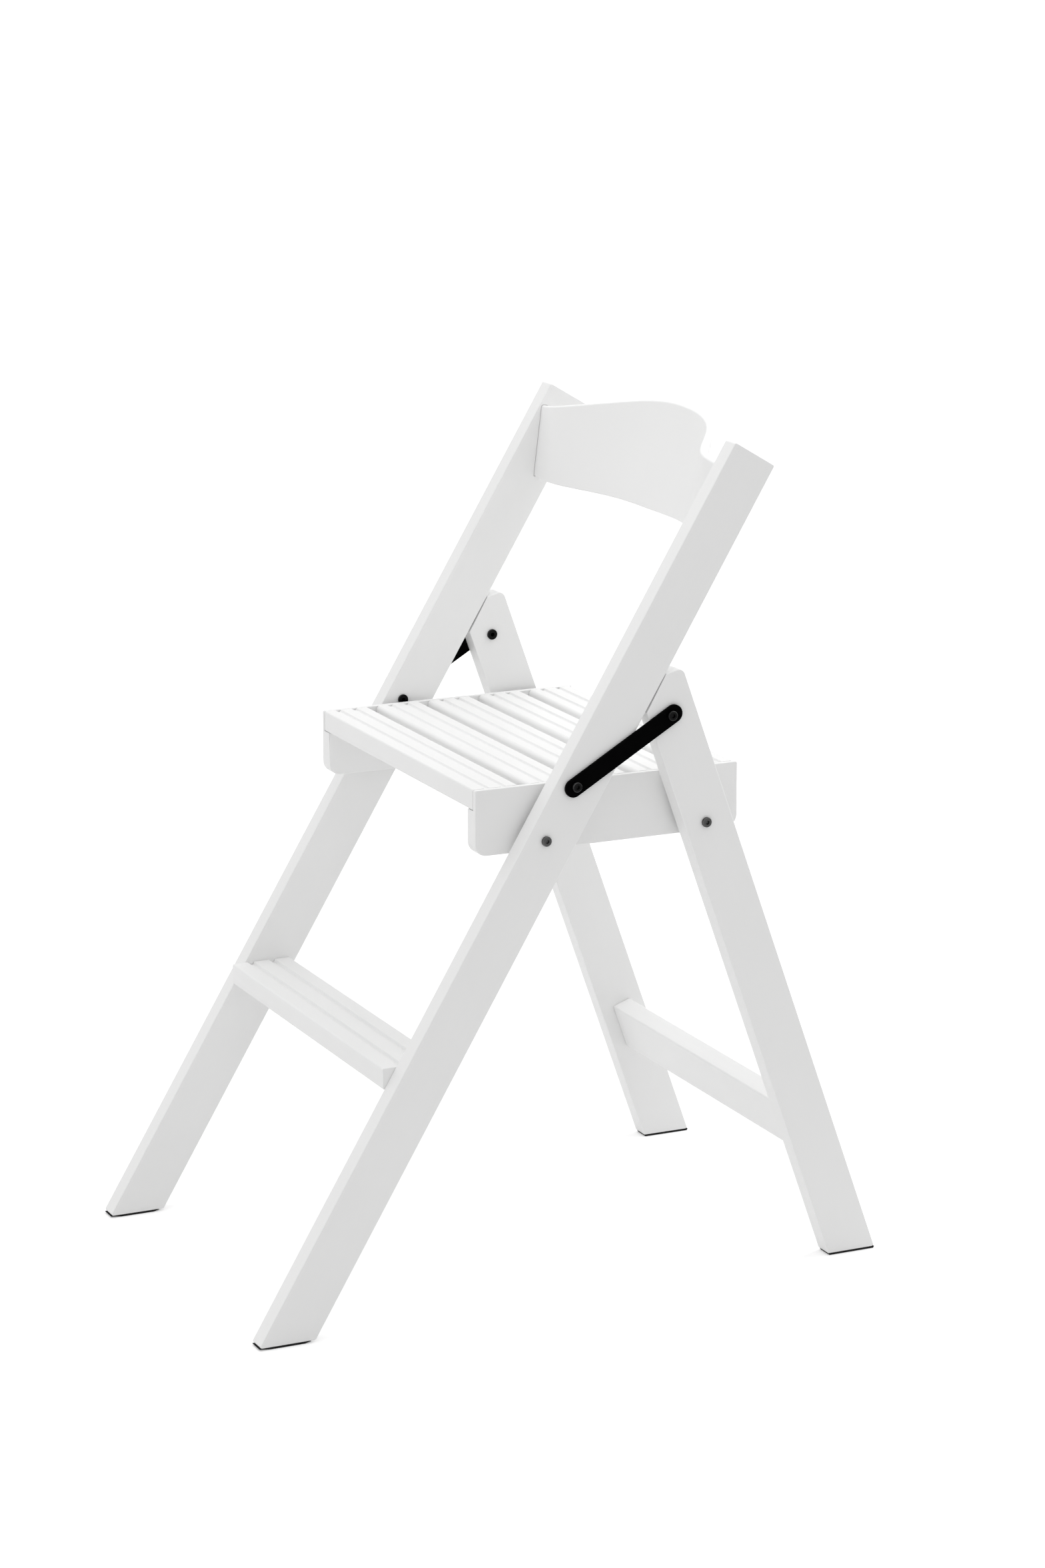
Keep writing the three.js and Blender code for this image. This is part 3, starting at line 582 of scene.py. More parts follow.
def board_patches(outline, arrows, low, high, ease, openings=()):
    """Rings of the outline from one face to the other. On the eased edge the turn goes from 0 to a
    quarter circle: a ring stands ease times (1 - cosine) in from the face, drawn in by ease times
    (1 - sine), and its arrows lean from the face's arrow to the outline's own. An opening is an outline,
    its arrows and the X where it starts and ends. It gets a wall, and a floor where it ends in the wood."""
    x = np.append(low + ease * (1 - cosine), (high - ease * (1 - cosine))[::-1])
    draw = np.append(ease * (1 - sine), (ease * (1 - sine))[::-1])
    lean = np.append(-cosine, cosine[::-1])
    out = np.sqrt(np.clip(1 - lean ** 2, 0, 1))
    wear = np.append(edge_wear_and_highlight, edge_wear_and_highlight[::-1])[:, None]
    flat = outline[None] - draw[:, None, None] * arrows[None]
    patches = [grid_patch(with_x(x, flat), with_x(lean, out[:, None, None] * arrows[None]), wear)]
    for end, face, way in ((0, low, -1), (-1, high, 1)):
        loops = [flat[end]] + [opening[0] for opening in openings if face in opening[2:]]
        patches.append(flat_patch(loops, at_x(face), (way, 0, 0)))
    for hole, hole_arrows, start, end in openings:
        patches.append(hole_wall(at_x(start)(hole), at_x(end)(hole), hole_arrows))
        if end < high:
            patches.append(flat_patch([hole], at_x(end), (-1, 0, 0)))
        if start > low:
            patches.append(flat_patch([hole], at_x(start), (1, 0, 0)))
    return patches


# %% [markdown]
# The bowed back panel
# The panel is the piece that takes the most skill: a moulded sheet of thin plies that bows back between
# the stiles. Its front is ruled, so at each X it is one straight line, and the top bows more than the
# bottom. It could be a bent box with modifiers, but then its arched top, sagging bottom and slanting
# ends would fight each other. So its front line is written as a formula of X, and one rounded section
# is carried along it.

# %% Formula of the panel's front line
CREST_THICKNESS = 8 * MM
CREST_BOTTOM_EDGE, CREST_TOP_EDGE = 1.6 * MM, 2.4 * MM
CREST_FOOT = (92.8 * MM, 17.4 * MM)
CREST_TOP = (24.6 * MM, 2.3 * MM)
CREST_BOW_TOP = 52.7 * MM
CREST_BOW_BOTTOM = 38 * MM
CREST_END_FLAT = 24 * MM
CREST_BOW_POWER = 1.75
CREST_BOW_BLEND, BLEND_POINTS = 7 * MM, 9
CREST_TOP_RISE = 25.3 * MM
CREST_TOP_POWER = 1.4
CREST_SAG = 6 * MM
CREST_SAG_POWER = 2.2
CREST_STATIONS = 140
SECTION_STEPS = 6
SLOPE_STEP = 0.5 * MM
crest_foot = stile_point(STILE_LENGTH - CREST_FOOT[0], BOARD_WIDTH - CREST_FOOT[1])
crest_end_top = stile_point(STILE_LENGTH - CREST_TOP[0], CREST_TOP[1])


def crest_lines(x):
    """Lower and upper ends of the front line at each X. The bow's share falls from one in the middle to
    nothing near the ends, as half of one plus the cosine of a power of the reach. It is averaged over
    some millimetres to either side, because plies don't bend with a crease."""
    across = np.minimum(1, np.abs(x) / inner_face)
    nearby = np.abs(x + CREST_BOW_BLEND * np.linspace(-1, 1, BLEND_POINTS)[:, None])
    reach = np.minimum(1, nearby / (inner_face - CREST_END_FLAT))
    bow_share = ((1 + np.cos(math.pi * reach ** CREST_BOW_POWER)) / 2).mean(0)
    low_height = crest_foot[1] - CREST_SAG * (1 - across ** CREST_SAG_POWER)
    arch = np.clip(np.cos(math.pi / 2 * across), 0, 1) ** CREST_TOP_POWER
    high_height = crest_end_top[1] + CREST_TOP_RISE * arch
    lines = []
    for height in (low_height, high_height):
        climb = (height - crest_foot[1]) / (crest_end_top[1] - crest_foot[1])
        bow = bow_share * (CREST_BOW_BOTTOM + (CREST_BOW_TOP - CREST_BOW_BOTTOM) * climb)
        y = crest_foot[0] + (crest_end_top[0] - crest_foot[0]) * climb + bow
        lines.append(np.stack([y, height], 1))
    return lines


def crest_sections(x, spread_by=0.0):
    """Rounded section at each X: a strip as thick as the panel, behind the front line. Where the panel
    runs slantwise the strip is thicker by the root of one plus the slope squared."""
    bottom, top = crest_lines(x)
    after, before = (np.stack(crest_lines(x + s * SLOPE_STEP)).mean(0)[:, 0] for s in (1, -1))
    slope = (after - before) / (2 * SLOPE_STEP)
    thickness = (CREST_THICKNESS * np.hypot(1, slope) + 2 * spread_by)[:, None]
    up = unit(top - bottom)
    back = np.stack([up[:, 1], -up[:, 0]], 1)
    low = bottom - spread_by * (up + back)
    high = top + spread_by * (up - back)
    turn = np.linspace(0, math.pi / 2, SECTION_STEPS + 1)[None, :, None]
    rows, arrows = [], []
    for corner, start, end, radius in (
            (low, -back, -up, CREST_BOTTOM_EDGE),
            (low + thickness * back, -up, back, CREST_BOTTOM_EDGE),
            (high + thickness * back, back, up, CREST_TOP_EDGE),
            (high, up, -back, CREST_TOP_EDGE)):
        arrow = np.cos(turn) * start[:, None] + np.sin(turn) * end[:, None]
        rows.append(corner[:, None] + radius * (arrow - (start + end)[:, None]))
        arrows.append(arrow)
    return np.concatenate(rows, 1), np.concatenate(arrows, 1)


middle_line = [line[0] for line in crest_lines(np.zeros(1))]
print("front line in the middle, from", middle_line[0].round(4), "to", middle_line[1].round(4))

# %% The panel
crest_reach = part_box("crest_panel")[1].x
crest_x = np.linspace(-inner_face, inner_face, CREST_STATIONS + 1)
crest_x = np.concatenate([[-crest_reach], crest_x, [crest_reach]])
section_points, section_arrows = crest_sections(crest_x)
crest_points, side_arrows = with_x(crest_x, section_points), with_x(0.0, section_arrows)
along_x = np.gradient(crest_points, crest_x, axis=0)
share = (side_arrows * along_x).sum(2) / (along_x ** 2).sum(2)
crest_arrows = unit(side_arrows - share[..., None] * along_x)
corner_turn = np.tile(np.sin(np.linspace(0, math.pi, SECTION_STEPS + 1)), 4)
crest_patches = [grid_patch(crest_points, crest_arrows, corner_turn[None])]
crest_patches += [flat_patch([section_points[end]], at_x(side * crest_reach), (side, 0, 0))
                  for end, side in ((0, -1), (-1, 1))]
dress("crest_panel", crest_patches, "white_panel")

# %% [markdown]
# Stiles
# A stile is one long board with a foot cut level, a bore for the seat's bolt, a wider bore for the
# link's nut, a slot that takes the panel's end, and two blind holes for the tread's dowels. The left
# one is made first, and the right one is its mirror image.

# %% Stiles
BOARD_EASE = 0.8 * MM
BOARD_CORNER = 2 * MM
BOLT_BORE = 3.3 * MM
NUT_BORE = 4.3 * MM
DOWEL_HOLE = 4.3 * MM
DOWEL_DEPTH = 12.5 * MM
CREST_SLOT_DEPTH = 8 * MM
CREST_SLOT_GAP = 0.4 * MM


def bore(middle, radius, low, high):
    """A round opening from one X to another."""
    return (*ring(middle, radius), low, high)


def dowel_holes(dowel, low, high):
    """Blind holes from one X to another, at the places of the left side's two dowels."""
    return [bore(axis_of(f"{dowel}_left_{n}"), DOWEL_HOLE, low, high) for n in (1, 2)]


slot_points, slot_arrows = crest_sections(np.array([inner_face]), CREST_SLOT_GAP)
stile_corners = [stile_point(stile_along(wood_bottom, back), back) for back in (0, BOARD_WIDTH)]
stile_corners += [stile_point(STILE_LENGTH, back) for back in (BOARD_WIDTH, 0)]
stile_openings = [
    bore(seat_pivot, BOLT_BORE, inner_face, outer_face),
    bore(stile_link_pivot, NUT_BORE, inner_face, outer_face),
    (slot_points[0], slot_arrows[0], inner_face, inner_face + CREST_SLOT_DEPTH),
]
stile_openings += dowel_holes("tread_dowel", inner_face, inner_face + DOWEL_DEPTH)
stile_patches = board_patches(*rounded_outline(stile_corners, BOARD_CORNER), inner_face, outer_face,
                              BOARD_EASE, stile_openings)
dress_both("stile", stile_patches, "white_board", "white_stile")

# %% [markdown]
# Rear legs
# A leg leans towards the back of its stile. Its top is cut along the stile and stops there when the
# chair stands, with a thin dark wedge left between the two, 2 mm at its foot and 1 mm at its head. From
# there the top slopes up to a rounded back corner.

# %% Rear legs
STOP_GAP = 0.5 * MM
STOP_GAP_FOOT = 2.0 * MM
STOP_GAP_HEAD = 1.0 * MM
STOP_LENGTH = 40.5 * MM
TOP_SLOPE = math.radians(14)
TOP_RADIUS = 7 * MM
cad_stop_foot, stop_foot = (
    crossing(leg_point(0, BOARD_WIDTH), leg_point(STILE_LENGTH, BOARD_WIDTH),
             stile_point(0, BOARD_WIDTH + gap), stile_point(STILE_LENGTH, BOARD_WIDTH + gap))
    for gap in (STOP_GAP, STOP_GAP_FOOT))
stop_head = cad_stop_foot + stile_point(STOP_LENGTH, STOP_GAP_HEAD - STOP_GAP) - stile_point(0, 0)
slope_end = stop_head + np.array([math.cos(TOP_SLOPE), math.sin(TOP_SLOPE)])
leg_corners = [leg_point(leg_along(wood_bottom, ahead), ahead) for ahead in (BOARD_WIDTH, 0)]
leg_corners += [crossing(leg_point(0, 0), leg_point(STILE_LENGTH, 0), stop_head, slope_end),
                stop_head, stop_foot]
leg_radii = [BOARD_CORNER, BOARD_CORNER, TOP_RADIUS, BOARD_CORNER, BOARD_CORNER]
leg_openings = [
    bore(leg_pivot, BOLT_BORE, inner_face, outer_face),
    bore(leg_link_pivot, NUT_BORE, inner_face, outer_face),
]
leg_openings += dowel_holes("stretcher_dowel", inner_face, inner_face + DOWEL_DEPTH)
leg_patches = board_patches(*rounded_outline(leg_corners, leg_radii), inner_face, outer_face, BOARD_EASE,
                            leg_openings)
dress_both("rear_leg", leg_patches, "white_board", "white_leg")

# %% [markdown]
# Rear stretcher
# A plain bar between the legs, flat on their middle line, held by two dowels at each end.

# %% Rear stretcher
STRETCHER_ALONG = 124.8 * MM
STRETCHER_HEIGHT = 50 * MM
STRETCHER_THICKNESS = 21 * MM
STRIP_EDGE = 1.8 * MM
END_EASE = 0.6 * MM
DOWEL_REACH = 20.5 * MM


def end_holes(dowel, reach):
    """Dowel holes in both ends of a cross board that reaches so far to either side."""
    depth = inner_face - DOWEL_REACH
    return dowel_holes(dowel, -reach, -depth) + dowel_holes(dowel, depth, reach)


near_front, near_back = (BOARD_WIDTH + STRETCHER_THICKNESS) / 2, (BOARD_WIDTH - STRETCHER_THICKNESS) / 2
stretcher_top = STRETCHER_ALONG + STRETCHER_HEIGHT
stretcher_corners = [leg_point(STRETCHER_ALONG, near_front), leg_point(STRETCHER_ALONG, near_back),
                     leg_point(stretcher_top, near_back), leg_point(stretcher_top, near_front)]
stretcher_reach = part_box("rear_stretcher")[1].x
stretcher_patches = board_patches(*rounded_outline(stretcher_corners, STRIP_EDGE), -stretcher_reach,
                                  stretcher_reach, END_EASE, end_holes("stretcher_dowel", stretcher_reach))
dress("rear_stretcher", stretcher_patches, "white_board", "white_slat")

# %% [markdown]
# Grooved slats and tread
# Each slat and the tread carry two shallow grooves for grip. A cutter leaves a flat bottom, and sanding
# and paint round its two shoulders. So a groove falls along the square of a sine on either side and is
# level in between. The section is then carried across the chair like a board. The photograph shows a
# fine dark seam at the slats' ends, so they stand a little off the lip. It shows wide soft bands between
# the slats, so their back edges are planed off and their front edges rounded more, and it shows dark
# lines in the tread, so its grooves are the deeper ones.

# %% Grooved section
GROOVE_COUNT = 2
SLAT_GROOVE_DEPTH, TREAD_GROOVE_DEPTH = 2 * MM, 3 * MM
GROOVE_SOFTNESS = 1.2
SHOULDER_SHARE = 0.24
GROOVE_STEPS = 20


def grooved_section(front, back, bottom, top, groove_width, depth, back_edge, front_edge):
    """A rounded rectangle with grooves let into its top edge, from the back one to the front one. The two
    top edges have radii of their own. The dip is the depth times the sine squared of a quarter turn times
    the way down its shoulder, and its arrows are square to it."""
    corners = [[front, bottom], [back, bottom], [back, top], [front, top]]
    outline, arrows = rounded_outline(corners, [STRIP_EDGE, STRIP_EDGE, back_edge, front_edge])
    strip = (back - front - GROOVE_COUNT * groove_width) / (GROOVE_COUNT + 1)
    width = groove_width * GROOVE_SOFTNESS
    share = np.linspace(1, 0, GROOVE_STEPS + 1)
    way_down = np.clip(np.minimum(share, 1 - share) / SHOULDER_SHARE, 0, 1)
    fall = depth * np.sin(math.pi / 2 * way_down) ** 2
    steepness = depth * math.pi / 2 / (SHOULDER_SHARE * width)
    lean = np.sign(0.5 - share) * steepness * np.sin(math.pi * way_down)
    dips, dip_arrows = [], []
    for groove in range(GROOVE_COUNT, 0, -1):
        middle = front + groove * strip + (groove - 0.5) * groove_width
        dips.append(np.stack([middle + (share - 0.5) * width, top - fall], 1))
        dip_arrows.append(unit(np.stack([lean, np.ones_like(lean)], 1)))
    at = 3 * (ARC_STEPS + 1)
    return (np.insert(outline, at, np.concatenate(dips), 0),
            np.insert(arrows, at, np.concatenate(dip_arrows), 0))


# %% Slats and tread
SLAT_COUNT = 5
SLAT_GROOVE = 5.5 * MM
TREAD_GROOVE = 6.2 * MM
SLAT_END_EASE = 0.25 * MM
SLAT_SEAM = 0.3 * MM
SLAT_FRONT_EDGE = 4 * MM
SLAT_BACK_EDGE = 2 * MM
SLAT_PLANED = 2.2 * MM
for number in range(1, SLAT_COUNT + 1):
    low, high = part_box(f"seat_slat_{number}")
    front_edge = STRIP_EDGE if number == 1 else SLAT_FRONT_EDGE
    section = grooved_section(low.y, high.y - SLAT_PLANED, low.z, high.z, SLAT_GROOVE, SLAT_GROOVE_DEPTH,
                              SLAT_BACK_EDGE, front_edge)
    slat_patches = board_patches(*section, low.x + SLAT_SEAM, high.x - SLAT_SEAM, SLAT_END_EASE)
    dress(f"seat_slat_{number}", slat_patches, "white_slat")
low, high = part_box("tread")
tread_section = grooved_section(low.y, high.y, low.z, high.z, TREAD_GROOVE, TREAD_GROOVE_DEPTH, STRIP_EDGE,
                                STRIP_EDGE)
tread_patches = board_patches(*tread_section, low.x, high.x, END_EASE, end_holes("tread_dowel", high.x))
dress("tread", tread_patches, "white_slat")

# %% [markdown]
# Seat sides
# A seat side is a board with a step cut into its inner top edge. The slats lie on that ledge, and a
# thin lip hides their ends. The whole board can still be rings of one outline, if a ceiling pushes the
# rings down: outside it is the seat's top, at the lip it drops to the ledge. Points that the ceiling
# touches get the upward arrow, and the others keep the outline's.

# %% Seat sides
SEAT_RADIUS = 12 * MM
SEAT_LIP = 4.8 * MM
LIP_EASE = 0.7 * MM
SLAT_THICKNESS = 21 * MM
seat_low, seat_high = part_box("seat_side_left")
ledge = seat_high.z - SLAT_THICKNESS
lip_inner = seat_high.x - SEAT_LIP
seat_corners = [[seat_low.y, seat_low.z], [seat_high.y, seat_low.z], [seat_high.y, seat_high.z],
                [seat_low.y, seat_high.z]]
seat_outline, seat_arrows = rounded_outline(seat_corners, [SEAT_RADIUS] * 2 + [BOARD_CORNER] * 2)
side_ends = 2 * (ARC_STEPS + 1), 4 * (ARC_STEPS + 1)
seat_outline = np.insert(seat_outline, side_ends, [[seat_high.y, ledge], [seat_low.y, ledge]], 0)
seat_arrows = np.insert(seat_arrows, side_ends, [[1, 0], [-1, 0]], 0)


def capped_rings(*rows):
    """Rings of the seat side's outline under a ceiling. The rows give each ring's X, how far it is drawn
    in, how its arrows lean along X, its ceiling, the lean of the arrows where the ceiling pushes the
    points down, and its share of edge wear and painted highlight."""
    x, draw, lean, ceiling, cap_lean, wear = np.broadcast_arrays(*map(np.atleast_1d, rows))
    flat = seat_outline[None] - draw[:, None, None] * seat_arrows[None]
    capped = flat[:, :, 1] > ceiling[:, None] + MERGE
    flat[:, :, 1] = np.minimum(flat[:, :, 1], ceiling[:, None])
    arrows = with_x(lean, np.sqrt(np.clip(1 - lean ** 2, 0, 1))[:, None, None] * seat_arrows[None])
    cap_arrows = np.stack([cap_lean, 0 * cap_lean, np.sqrt(np.clip(1 - cap_lean ** 2, 0, 1))], 1)
    arrows = np.where(capped[:, :, None], cap_arrows[:, None, :], arrows)
    return grid_patch(with_x(x, flat), arrows, wear[:, None]), flat


depth, draw = BOARD_EASE * (1 - cosine), BOARD_EASE * (1 - sine)
outer_rings, outer_flat = capped_rings(
    np.append(seat_high.x - depth, lip_inner + LIP_EASE), np.append(draw, 0), np.append(cosine, 0),
    seat_high.z, 0.0, np.append(edge_wear_and_highlight, 0))
lip_rings, _ = capped_rings(lip_inner + LIP_EASE * (1 - sine), 0.0, 0.0,
                            seat_high.z - LIP_EASE * (1 - cosine), -sine, edge_wear_and_highlight)
lip_wall, _ = capped_rings(lip_inner, 0.0, 0.0, np.array([seat_high.z - LIP_EASE, ledge]), -1.0, 0.0)
ledge_rings, _ = capped_rings(np.array([lip_inner, seat_low.x + BOARD_EASE]), 0.0, 0.0, ledge, 0.0, 0.0)
inner_rings, inner_flat = capped_rings(seat_low.x + depth, draw, -cosine, ledge - draw, -cosine, edge_wear_and_highlight)
lip_wall["arrows"] = np.broadcast_to([-1.0, 0, 0], lip_wall["points"].shape)
seat_bores = [ring(seat_pivot, NUT_BORE), ring(leg_pivot, NUT_BORE)]
seat_patches = [outer_rings, lip_rings, lip_wall, ledge_rings, inner_rings]
for flat, x, way in ((outer_flat[0], seat_high.x, 1), (inner_flat[0], seat_low.x, -1)):
    seat_patches.append(flat_patch([flat] + [hole for hole, _ in seat_bores], at_x(x), (way, 0, 0)))
seat_patches += [hole_wall(at_x(seat_low.x)(hole), at_x(seat_high.x)(hole), arrows)
                 for hole, arrows in seat_bores]
dress_both("seat_side", seat_patches, "white_board", "white_side")

# %% [markdown]
# Steel links
# A link is a flat bar with half-round ends, bored for its two bolts. The half circles are corners
# rounded by half the bar's width, so the same outline function makes them.

# %% Links
LINK_WIDTH = 18 * MM
LINK_REACH = 11.8 * MM
LINK_EASE = 0.5 * MM
HALF_ROUND = LINK_WIDTH / 2 - 0.01 * MM  # a hair less, so that two arcs never meet
link_way = unit(leg_link_pivot - stile_link_pivot)
link_beside = np.array([-link_way[1], link_way[0]]) * LINK_WIDTH / 2
link_low = stile_link_pivot - LINK_REACH * link_way
link_high = leg_link_pivot + LINK_REACH * link_way
link_corners = [link_low - link_beside, link_high - link_beside,
                link_high + link_beside, link_low + link_beside]
low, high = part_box("link_left")
link_bores = [bore(pivot, BOLT_BORE, low.x, high.x) for pivot in (stile_link_pivot, leg_link_pivot)]
link_patches = board_patches(*rounded_outline(link_corners, HALF_ROUND, 3 * ARC_STEPS), low.x, high.x,
                             LINK_EASE, link_bores)
dress_both("link", link_patches, "black_steel")

# %% [markdown]
# Turned parts with a hexagonal socket
# Bolts and sleeve nuts are turned: a section spun round an axis. Their sockets are not round, so the
# spin uses the same angles as the points of the hexagon. Then the ring round the socket joins point by
# point, and no seam is left open.

# %% Spinning a section
SOCKET_ACROSS = 4 * MM
SOCKET_CORNER = 0.15 * MM
SOCKET_STEPS = 2
SOCKET_SIDES = 6
SIDE_SHARES = np.array([0.25, 0.5, 0.75])[:, None]
socket_turn = math.pi / 6 + np.arange(SOCKET_SIDES) * math.pi / 3
socket_corners = SOCKET_ACROSS / math.sqrt(3) * np.stack([np.cos(socket_turn), np.sin(socket_turn)], 1)
socket_arcs, arc_arrows = (part.reshape(SOCKET_SIDES, -1, 2) for part in
                           rounded_outline(socket_corners, SOCKET_CORNER, SOCKET_STEPS))
side_starts, side_ends = socket_arcs[:, -1:], np.roll(socket_arcs[:, :1], -1, axis=0)
side_points = side_starts + SIDE_SHARES * (side_ends - side_starts)
side_normals = np.broadcast_to(arc_arrows[:, -1:], side_points.shape)
socket_outline = np.concatenate([socket_arcs, side_points], 1).reshape(-1, 2)
socket_arrows = np.concatenate([arc_arrows, side_normals], 1).reshape(-1, 2)
socket_ways = unit(socket_outline)


def laid(radial, height, axis):
    """Turned points laid along X. The axis is its place in the side view, the X of the part's seat and
    which way is outward: the radial part is added to the place, and the height goes outward from the seat."""
    middle, seat, outward = axis
    x = np.broadcast_to(seat + outward * height, radial.shape[:-1])
    return np.concatenate([x[..., None], middle + radial], -1)


def socket_patches(rim, top, depth, axis):
    """The flat ring from a round rim to the hexagon, and the hexagon's walls. Also the walls' lower edge."""
    rim_points = laid(rim * socket_ways, top, axis)
    edge, deep = laid(socket_outline, top, axis), laid(socket_outline, top - depth, axis)
    return [
        grid_patch(np.stack([rim_points, edge]), np.array([axis[2], 0.0, 0.0])),
        hole_wall(edge, deep, socket_arrows),
    ], deep


# %% [markdown]
# Bolts and nuts
# The bolts have low button heads. The spun section starts on the axis, where its points fall together
# and the collapsed faces are dropped as the piece is sewn. It ends on the socket's rim, and the socket
# closes the rest.

# %% Bolts
BOLT_RADIUS = 3 * MM
HEAD_RADIUS = 5 * MM
HEAD_HEIGHT = 3 * MM
HEAD_DOME = 1.1 * MM
SOCKET_RIM = 2.7 * MM
SOCKET_DEPTH = 1.9 * MM
TIP_EDGE, HEAD_EDGE = 0.3 * MM, 0.2 * MM
SPIN_STEPS = 5


def open_spin(corners, radii, axis):
    """An open section (radius, height) spun round the axis. The first and last corners stay sharp ends;
    the others are arcs, and the arrows are square to the section, on the right of its way."""
    corners = np.array(corners, float)
    points, ways = arcs(corners[:-2], corners[1:-1], corners[2:], radii, SPIN_STEPS)
    outline = np.concatenate([corners[:1], points, corners[-1:]])
    ways = np.concatenate([ways[:1], ways, ways[-1:]])
    wear = np.tile(np.sin(np.linspace(0, math.pi, SPIN_STEPS + 1)), len(corners) - 2)
    wear = np.concatenate([[0], wear, [0]])[:, None]
    placed = laid(outline[:, None, :1] * socket_ways[None], outline[:, 1:2], axis)
    sides = ways[:, None, :1] * socket_ways[None]
    return grid_patch(placed, with_x(axis[2] * ways[:, 1], sides), wear)


def bolt_patches(node):
    """From the tip's middle out to the shank, up it, under the head, round the dome and in to the socket."""
    low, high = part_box(node)
    length = high.x - low.x - HEAD_HEIGHT
    axis = axis_of(node), high.x - HEAD_HEIGHT, 1.0
    section = [(0, -length), (BOLT_RADIUS, -length), (BOLT_RADIUS, 0), (HEAD_RADIUS, 0),
               (HEAD_RADIUS, HEAD_HEIGHT), (SOCKET_RIM, HEAD_HEIGHT)]
    outside = open_spin(section, [TIP_EDGE, 0.0, HEAD_EDGE, HEAD_DOME], axis)
    socket, deep = socket_patches(SOCKET_RIM, HEAD_HEIGHT, SOCKET_DEPTH, axis)
    floor = flat_patch([deep[:, 1:]], at_x(deep[0, 0]), (1, 0, 0))
    return [outside, *socket, floor]


for kind, look in (("seat_bolt", "sheen_painted_bolt"), ("leg_bolt", "sheen_painted_bolt"), ("stile_link_bolt", "black_bolt"),
                   ("leg_link_bolt", "black_bolt")):
    dress_both(kind, bolt_patches(f"{kind}_left"), "black_steel", look)

# %% Sleeve nuts
NUT_RADIUS = 4 * MM
FLANGE_RADIUS = 5.5 * MM
FLANGE_THICKNESS = 1.8 * MM
FLANGE_EDGE = 0.5 * MM
NUT_EDGE = 0.1 * MM


def nut_patches(node):
    """Outside from the barrel's mouth to the flange's socket, which opens into the barrel's bore. The
    flange looks towards the middle of the chair, so the heights run towards lower X."""
    low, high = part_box(node)
    length = high.x - low.x - FLANGE_THICKNESS
    axis = axis_of(node), low.x + FLANGE_THICKNESS, -1.0
    section = [(BOLT_BORE, -length), (NUT_RADIUS, -length), (NUT_RADIUS, 0), (FLANGE_RADIUS, 0),
               (FLANGE_RADIUS, FLANGE_THICKNESS), (SOCKET_RIM, FLANGE_THICKNESS)]
    outside = open_spin(section, [NUT_EDGE, 0.0, NUT_EDGE, FLANGE_EDGE], axis)
    socket, deep = socket_patches(SOCKET_RIM, FLANGE_THICKNESS, FLANGE_THICKNESS, axis)
    mouth, rear = (laid(BOLT_BORE * socket_ways, height, axis) for height in (0.0, -length))
    shoulder = grid_patch(np.stack([deep, mouth]), np.array([1.0, 0.0, 0.0]))
    return [outside, *socket, shoulder, hole_wall(mouth, rear, socket_ways)]


for kind in ("seat_bolt_nut", "leg_bolt_nut", "stile_link_nut", "leg_link_nut"):
    dress_both(kind, nut_patches(f"{kind}_left"), "black_steel", "black_bolt")

# %% [markdown]
# Spacers and foot pads
# A nylon ring round each seat pivot keeps the paint of the seat off the frame. The pads are strips of
# rubber under the feet, with soft edges and ends that slant in towards the ground.

# %% Spacers
SPACER_RADIUS = 8 * MM
SPACER_EDGE = 0.6 * MM


def spacer_patches(node):
    """A ring: its section runs out along one face, across the rim, in along the other face and back
    through the bore."""
    low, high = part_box(node)
    width = high.x - low.x
    section = [(BOLT_BORE, 0), (SPACER_RADIUS, 0), (SPACER_RADIUS, width), (BOLT_BORE, width), (BOLT_BORE, 0)]
    return [open_spin(section, [SPACER_EDGE, SPACER_EDGE, 0.0], (axis_of(node), low.x, 1.0))]


for kind in ("seat_spacer", "leg_spacer"):
    dress_both(kind, spacer_patches(f"{kind}_left"), "black_nylon")

# %% Foot pads
PAD_CORNER = 0.2 * MM
PAD_EASE = 0.5 * MM
PAD_RIM = 0.5 * MM
PAD_RAKES = {"front_foot_pad": (12 * MM, 6 * MM), "rear_foot_pad": (1 * MM, 1 * MM)}
for kind, (front_rake, back_rake) in PAD_RAKES.items():
    low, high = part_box(f"{kind}_left")
    rim = high.z - PAD_RIM
    corners = [[low.y + front_rake, low.z], [high.y - back_rake, low.z], [high.y, rim], [high.y, high.z],
               [low.y, high.z], [low.y, rim]]
    dress_both(kind, board_patches(*rounded_outline(corners, PAD_CORNER), low.x, high.x, PAD_EASE),
               "black_rubber")

# %% [markdown]
# The studio
# The chair stood in a white studio. Its tops are brightest, edges that face forward are light, and the
# broad sides that face the camera are a light grey, so the light came softly from above and behind, and
# the camera's side of the room gave least. The strengths were fitted to the greys in the photograph, and
# held back so that the chair's rear faces stay below pure white when it is seen from behind. The floor is
# lifted towards white for the camera and for reflections only, so it sheds no extra light on the chair.

# %% Floor
FLOOR_SIZE = 60.0
FLOOR_TONE = 0.88
NEAR_LIFT, FAR_LIFT = 0.3, 0.65
NEAR_REACH, FAR_REACH = 0.8, 3.0


def white_rays(tree):
    """One for rays that see a surface, reflect it or pass through it, and nothing for rays that gather
    its light."""
    rays = add_node(tree, "LightPath").outputs
    seen = arithmetic(tree, "MAXIMUM", rays["Is Camera Ray"], rays["Is Glossy Ray"])
    return arithmetic(tree, "MAXIMUM", seen, rays["Is Transmission Ray"])


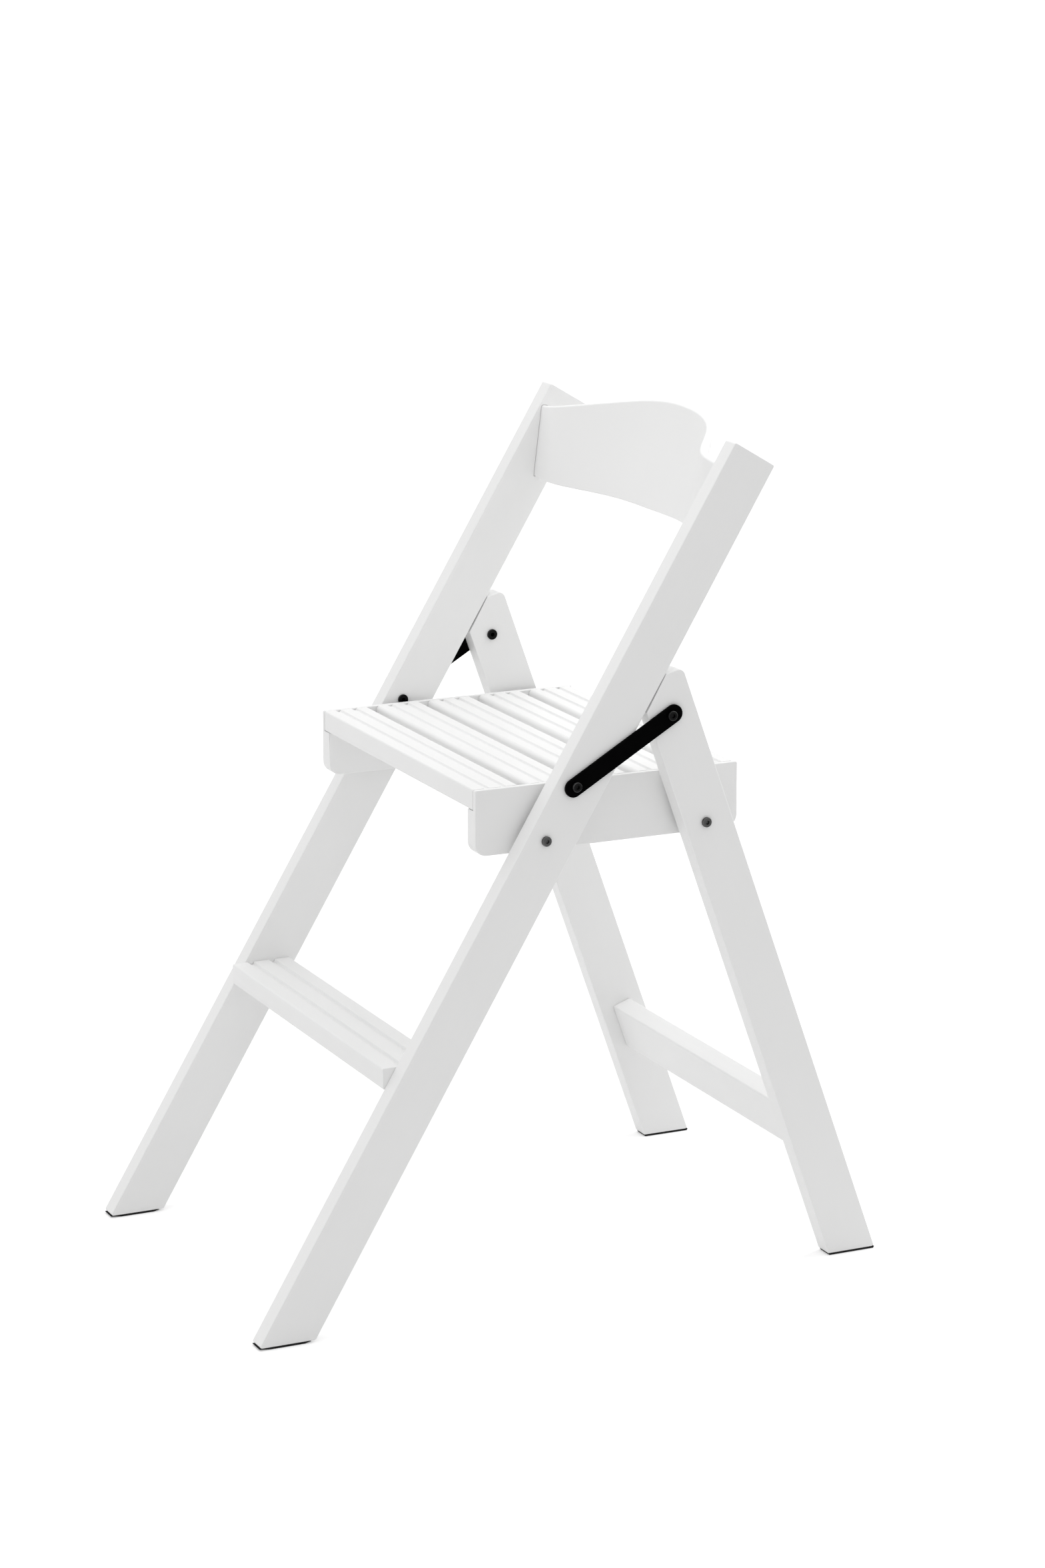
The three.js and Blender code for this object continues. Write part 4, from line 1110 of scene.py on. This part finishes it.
half = FLOOR_SIZE / 2
floor_mesh = bpy.data.meshes.new("floor")
floor_corners = [(-half, -half, 0), (half, -half, 0), (half, half, 0), (-half, half, 0)]
floor_mesh.from_pydata(floor_corners, [], [(0, 1, 2, 3)])
floor = add_object("floor", floor_mesh)
floor_finish = bpy.data.materials.new("floor_paper")
floor_tree = empty_tree(floor_finish)
floor_shader = add_node(floor_tree, "BsdfDiffuse", Color=(FLOOR_TONE, FLOOR_TONE, FLOOR_TONE, 1))
floor_place = add_node(floor_tree, "TexCoord").outputs["Object"]
distance = add_node(floor_tree, "VectorMath", {"operation": "LENGTH"})
fill(distance.inputs[0], floor_place)
lift = spread(floor_tree, distance.outputs["Value"], NEAR_REACH, FAR_REACH, NEAR_LIFT, FAR_LIFT)
floor_glow = add_node(floor_tree, "Emission",
                      Strength=arithmetic(floor_tree, "MULTIPLY", lift, white_rays(floor_tree)))
floor_both = add_node(floor_tree, "AddShader")
fill(floor_both.inputs[0], floor_shader.outputs["BSDF"])
fill(floor_both.inputs[1], floor_glow.outputs["Emission"])
add_node(floor_tree, "OutputMaterial", Surface=floor_both.outputs["Shader"])
floor_mesh.materials.append(floor_finish)

# %% World and lamps
WORLD_LEVEL = 0.577
WORLD_LEAN = (-0.104, -0.188, 0.36)
scene.world = bpy.data.worlds.new("studio")
world_tree = empty_tree(scene.world)
direction = add_node(world_tree, "TexCoord").outputs["Generated"]
leaning = add_node(world_tree, "VectorMath", {"operation": "DOT_PRODUCT"})
fill(leaning.inputs[0], direction)
fill(leaning.inputs[1], WORLD_LEAN)
level = spread(world_tree, leaning.outputs["Value"], -WORLD_LEVEL, WORLD_LEVEL, 0.0, 2 * WORLD_LEVEL)
soft, paper = (add_node(world_tree, "Background", Color=(1, 1, 1, 1), Strength=strength)
               for strength in (level, 1.0))
either = add_node(world_tree, "MixShader", Fac=white_rays(world_tree))
fill(either.inputs[1], soft.outputs["Background"])
fill(either.inputs[2], paper.outputs["Background"])
add_node(world_tree, "OutputWorld", Surface=either.outputs["Shader"])

CHAIR_MIDDLE = Vector((0.0, 0.0, 0.4))
SOFT_BOXES = {  # place, width and height in metres, and watts
    "light_above": ((0.0, 0.0, 2.0), 1.2, 1.2, 3.3),
    "light_behind_high": ((0.0, 1.1, 1.9), 1.2, 1.0, 7.6),
    "light_behind_low": ((0.0, 1.6, 0.8), 1.2, 0.8, 3.8),
}
for name, (place, width, height, power) in SOFT_BOXES.items():
    lamp = bpy.data.lights.new(name, "AREA")
    lamp.shape = "RECTANGLE"
    lamp.size, lamp.size_y, lamp.energy = width, height, power
    soft_box = add_object(name, lamp)
    soft_box.location = place
    soft_box.rotation_mode = "QUATERNION"
    soft_box.rotation_quaternion = (Vector(place) - CHAIR_MIDDLE).to_track_quat("Z", "Y")
    soft_box.visible_camera = False
    print(name, "at", place, "gives", power, "watts")
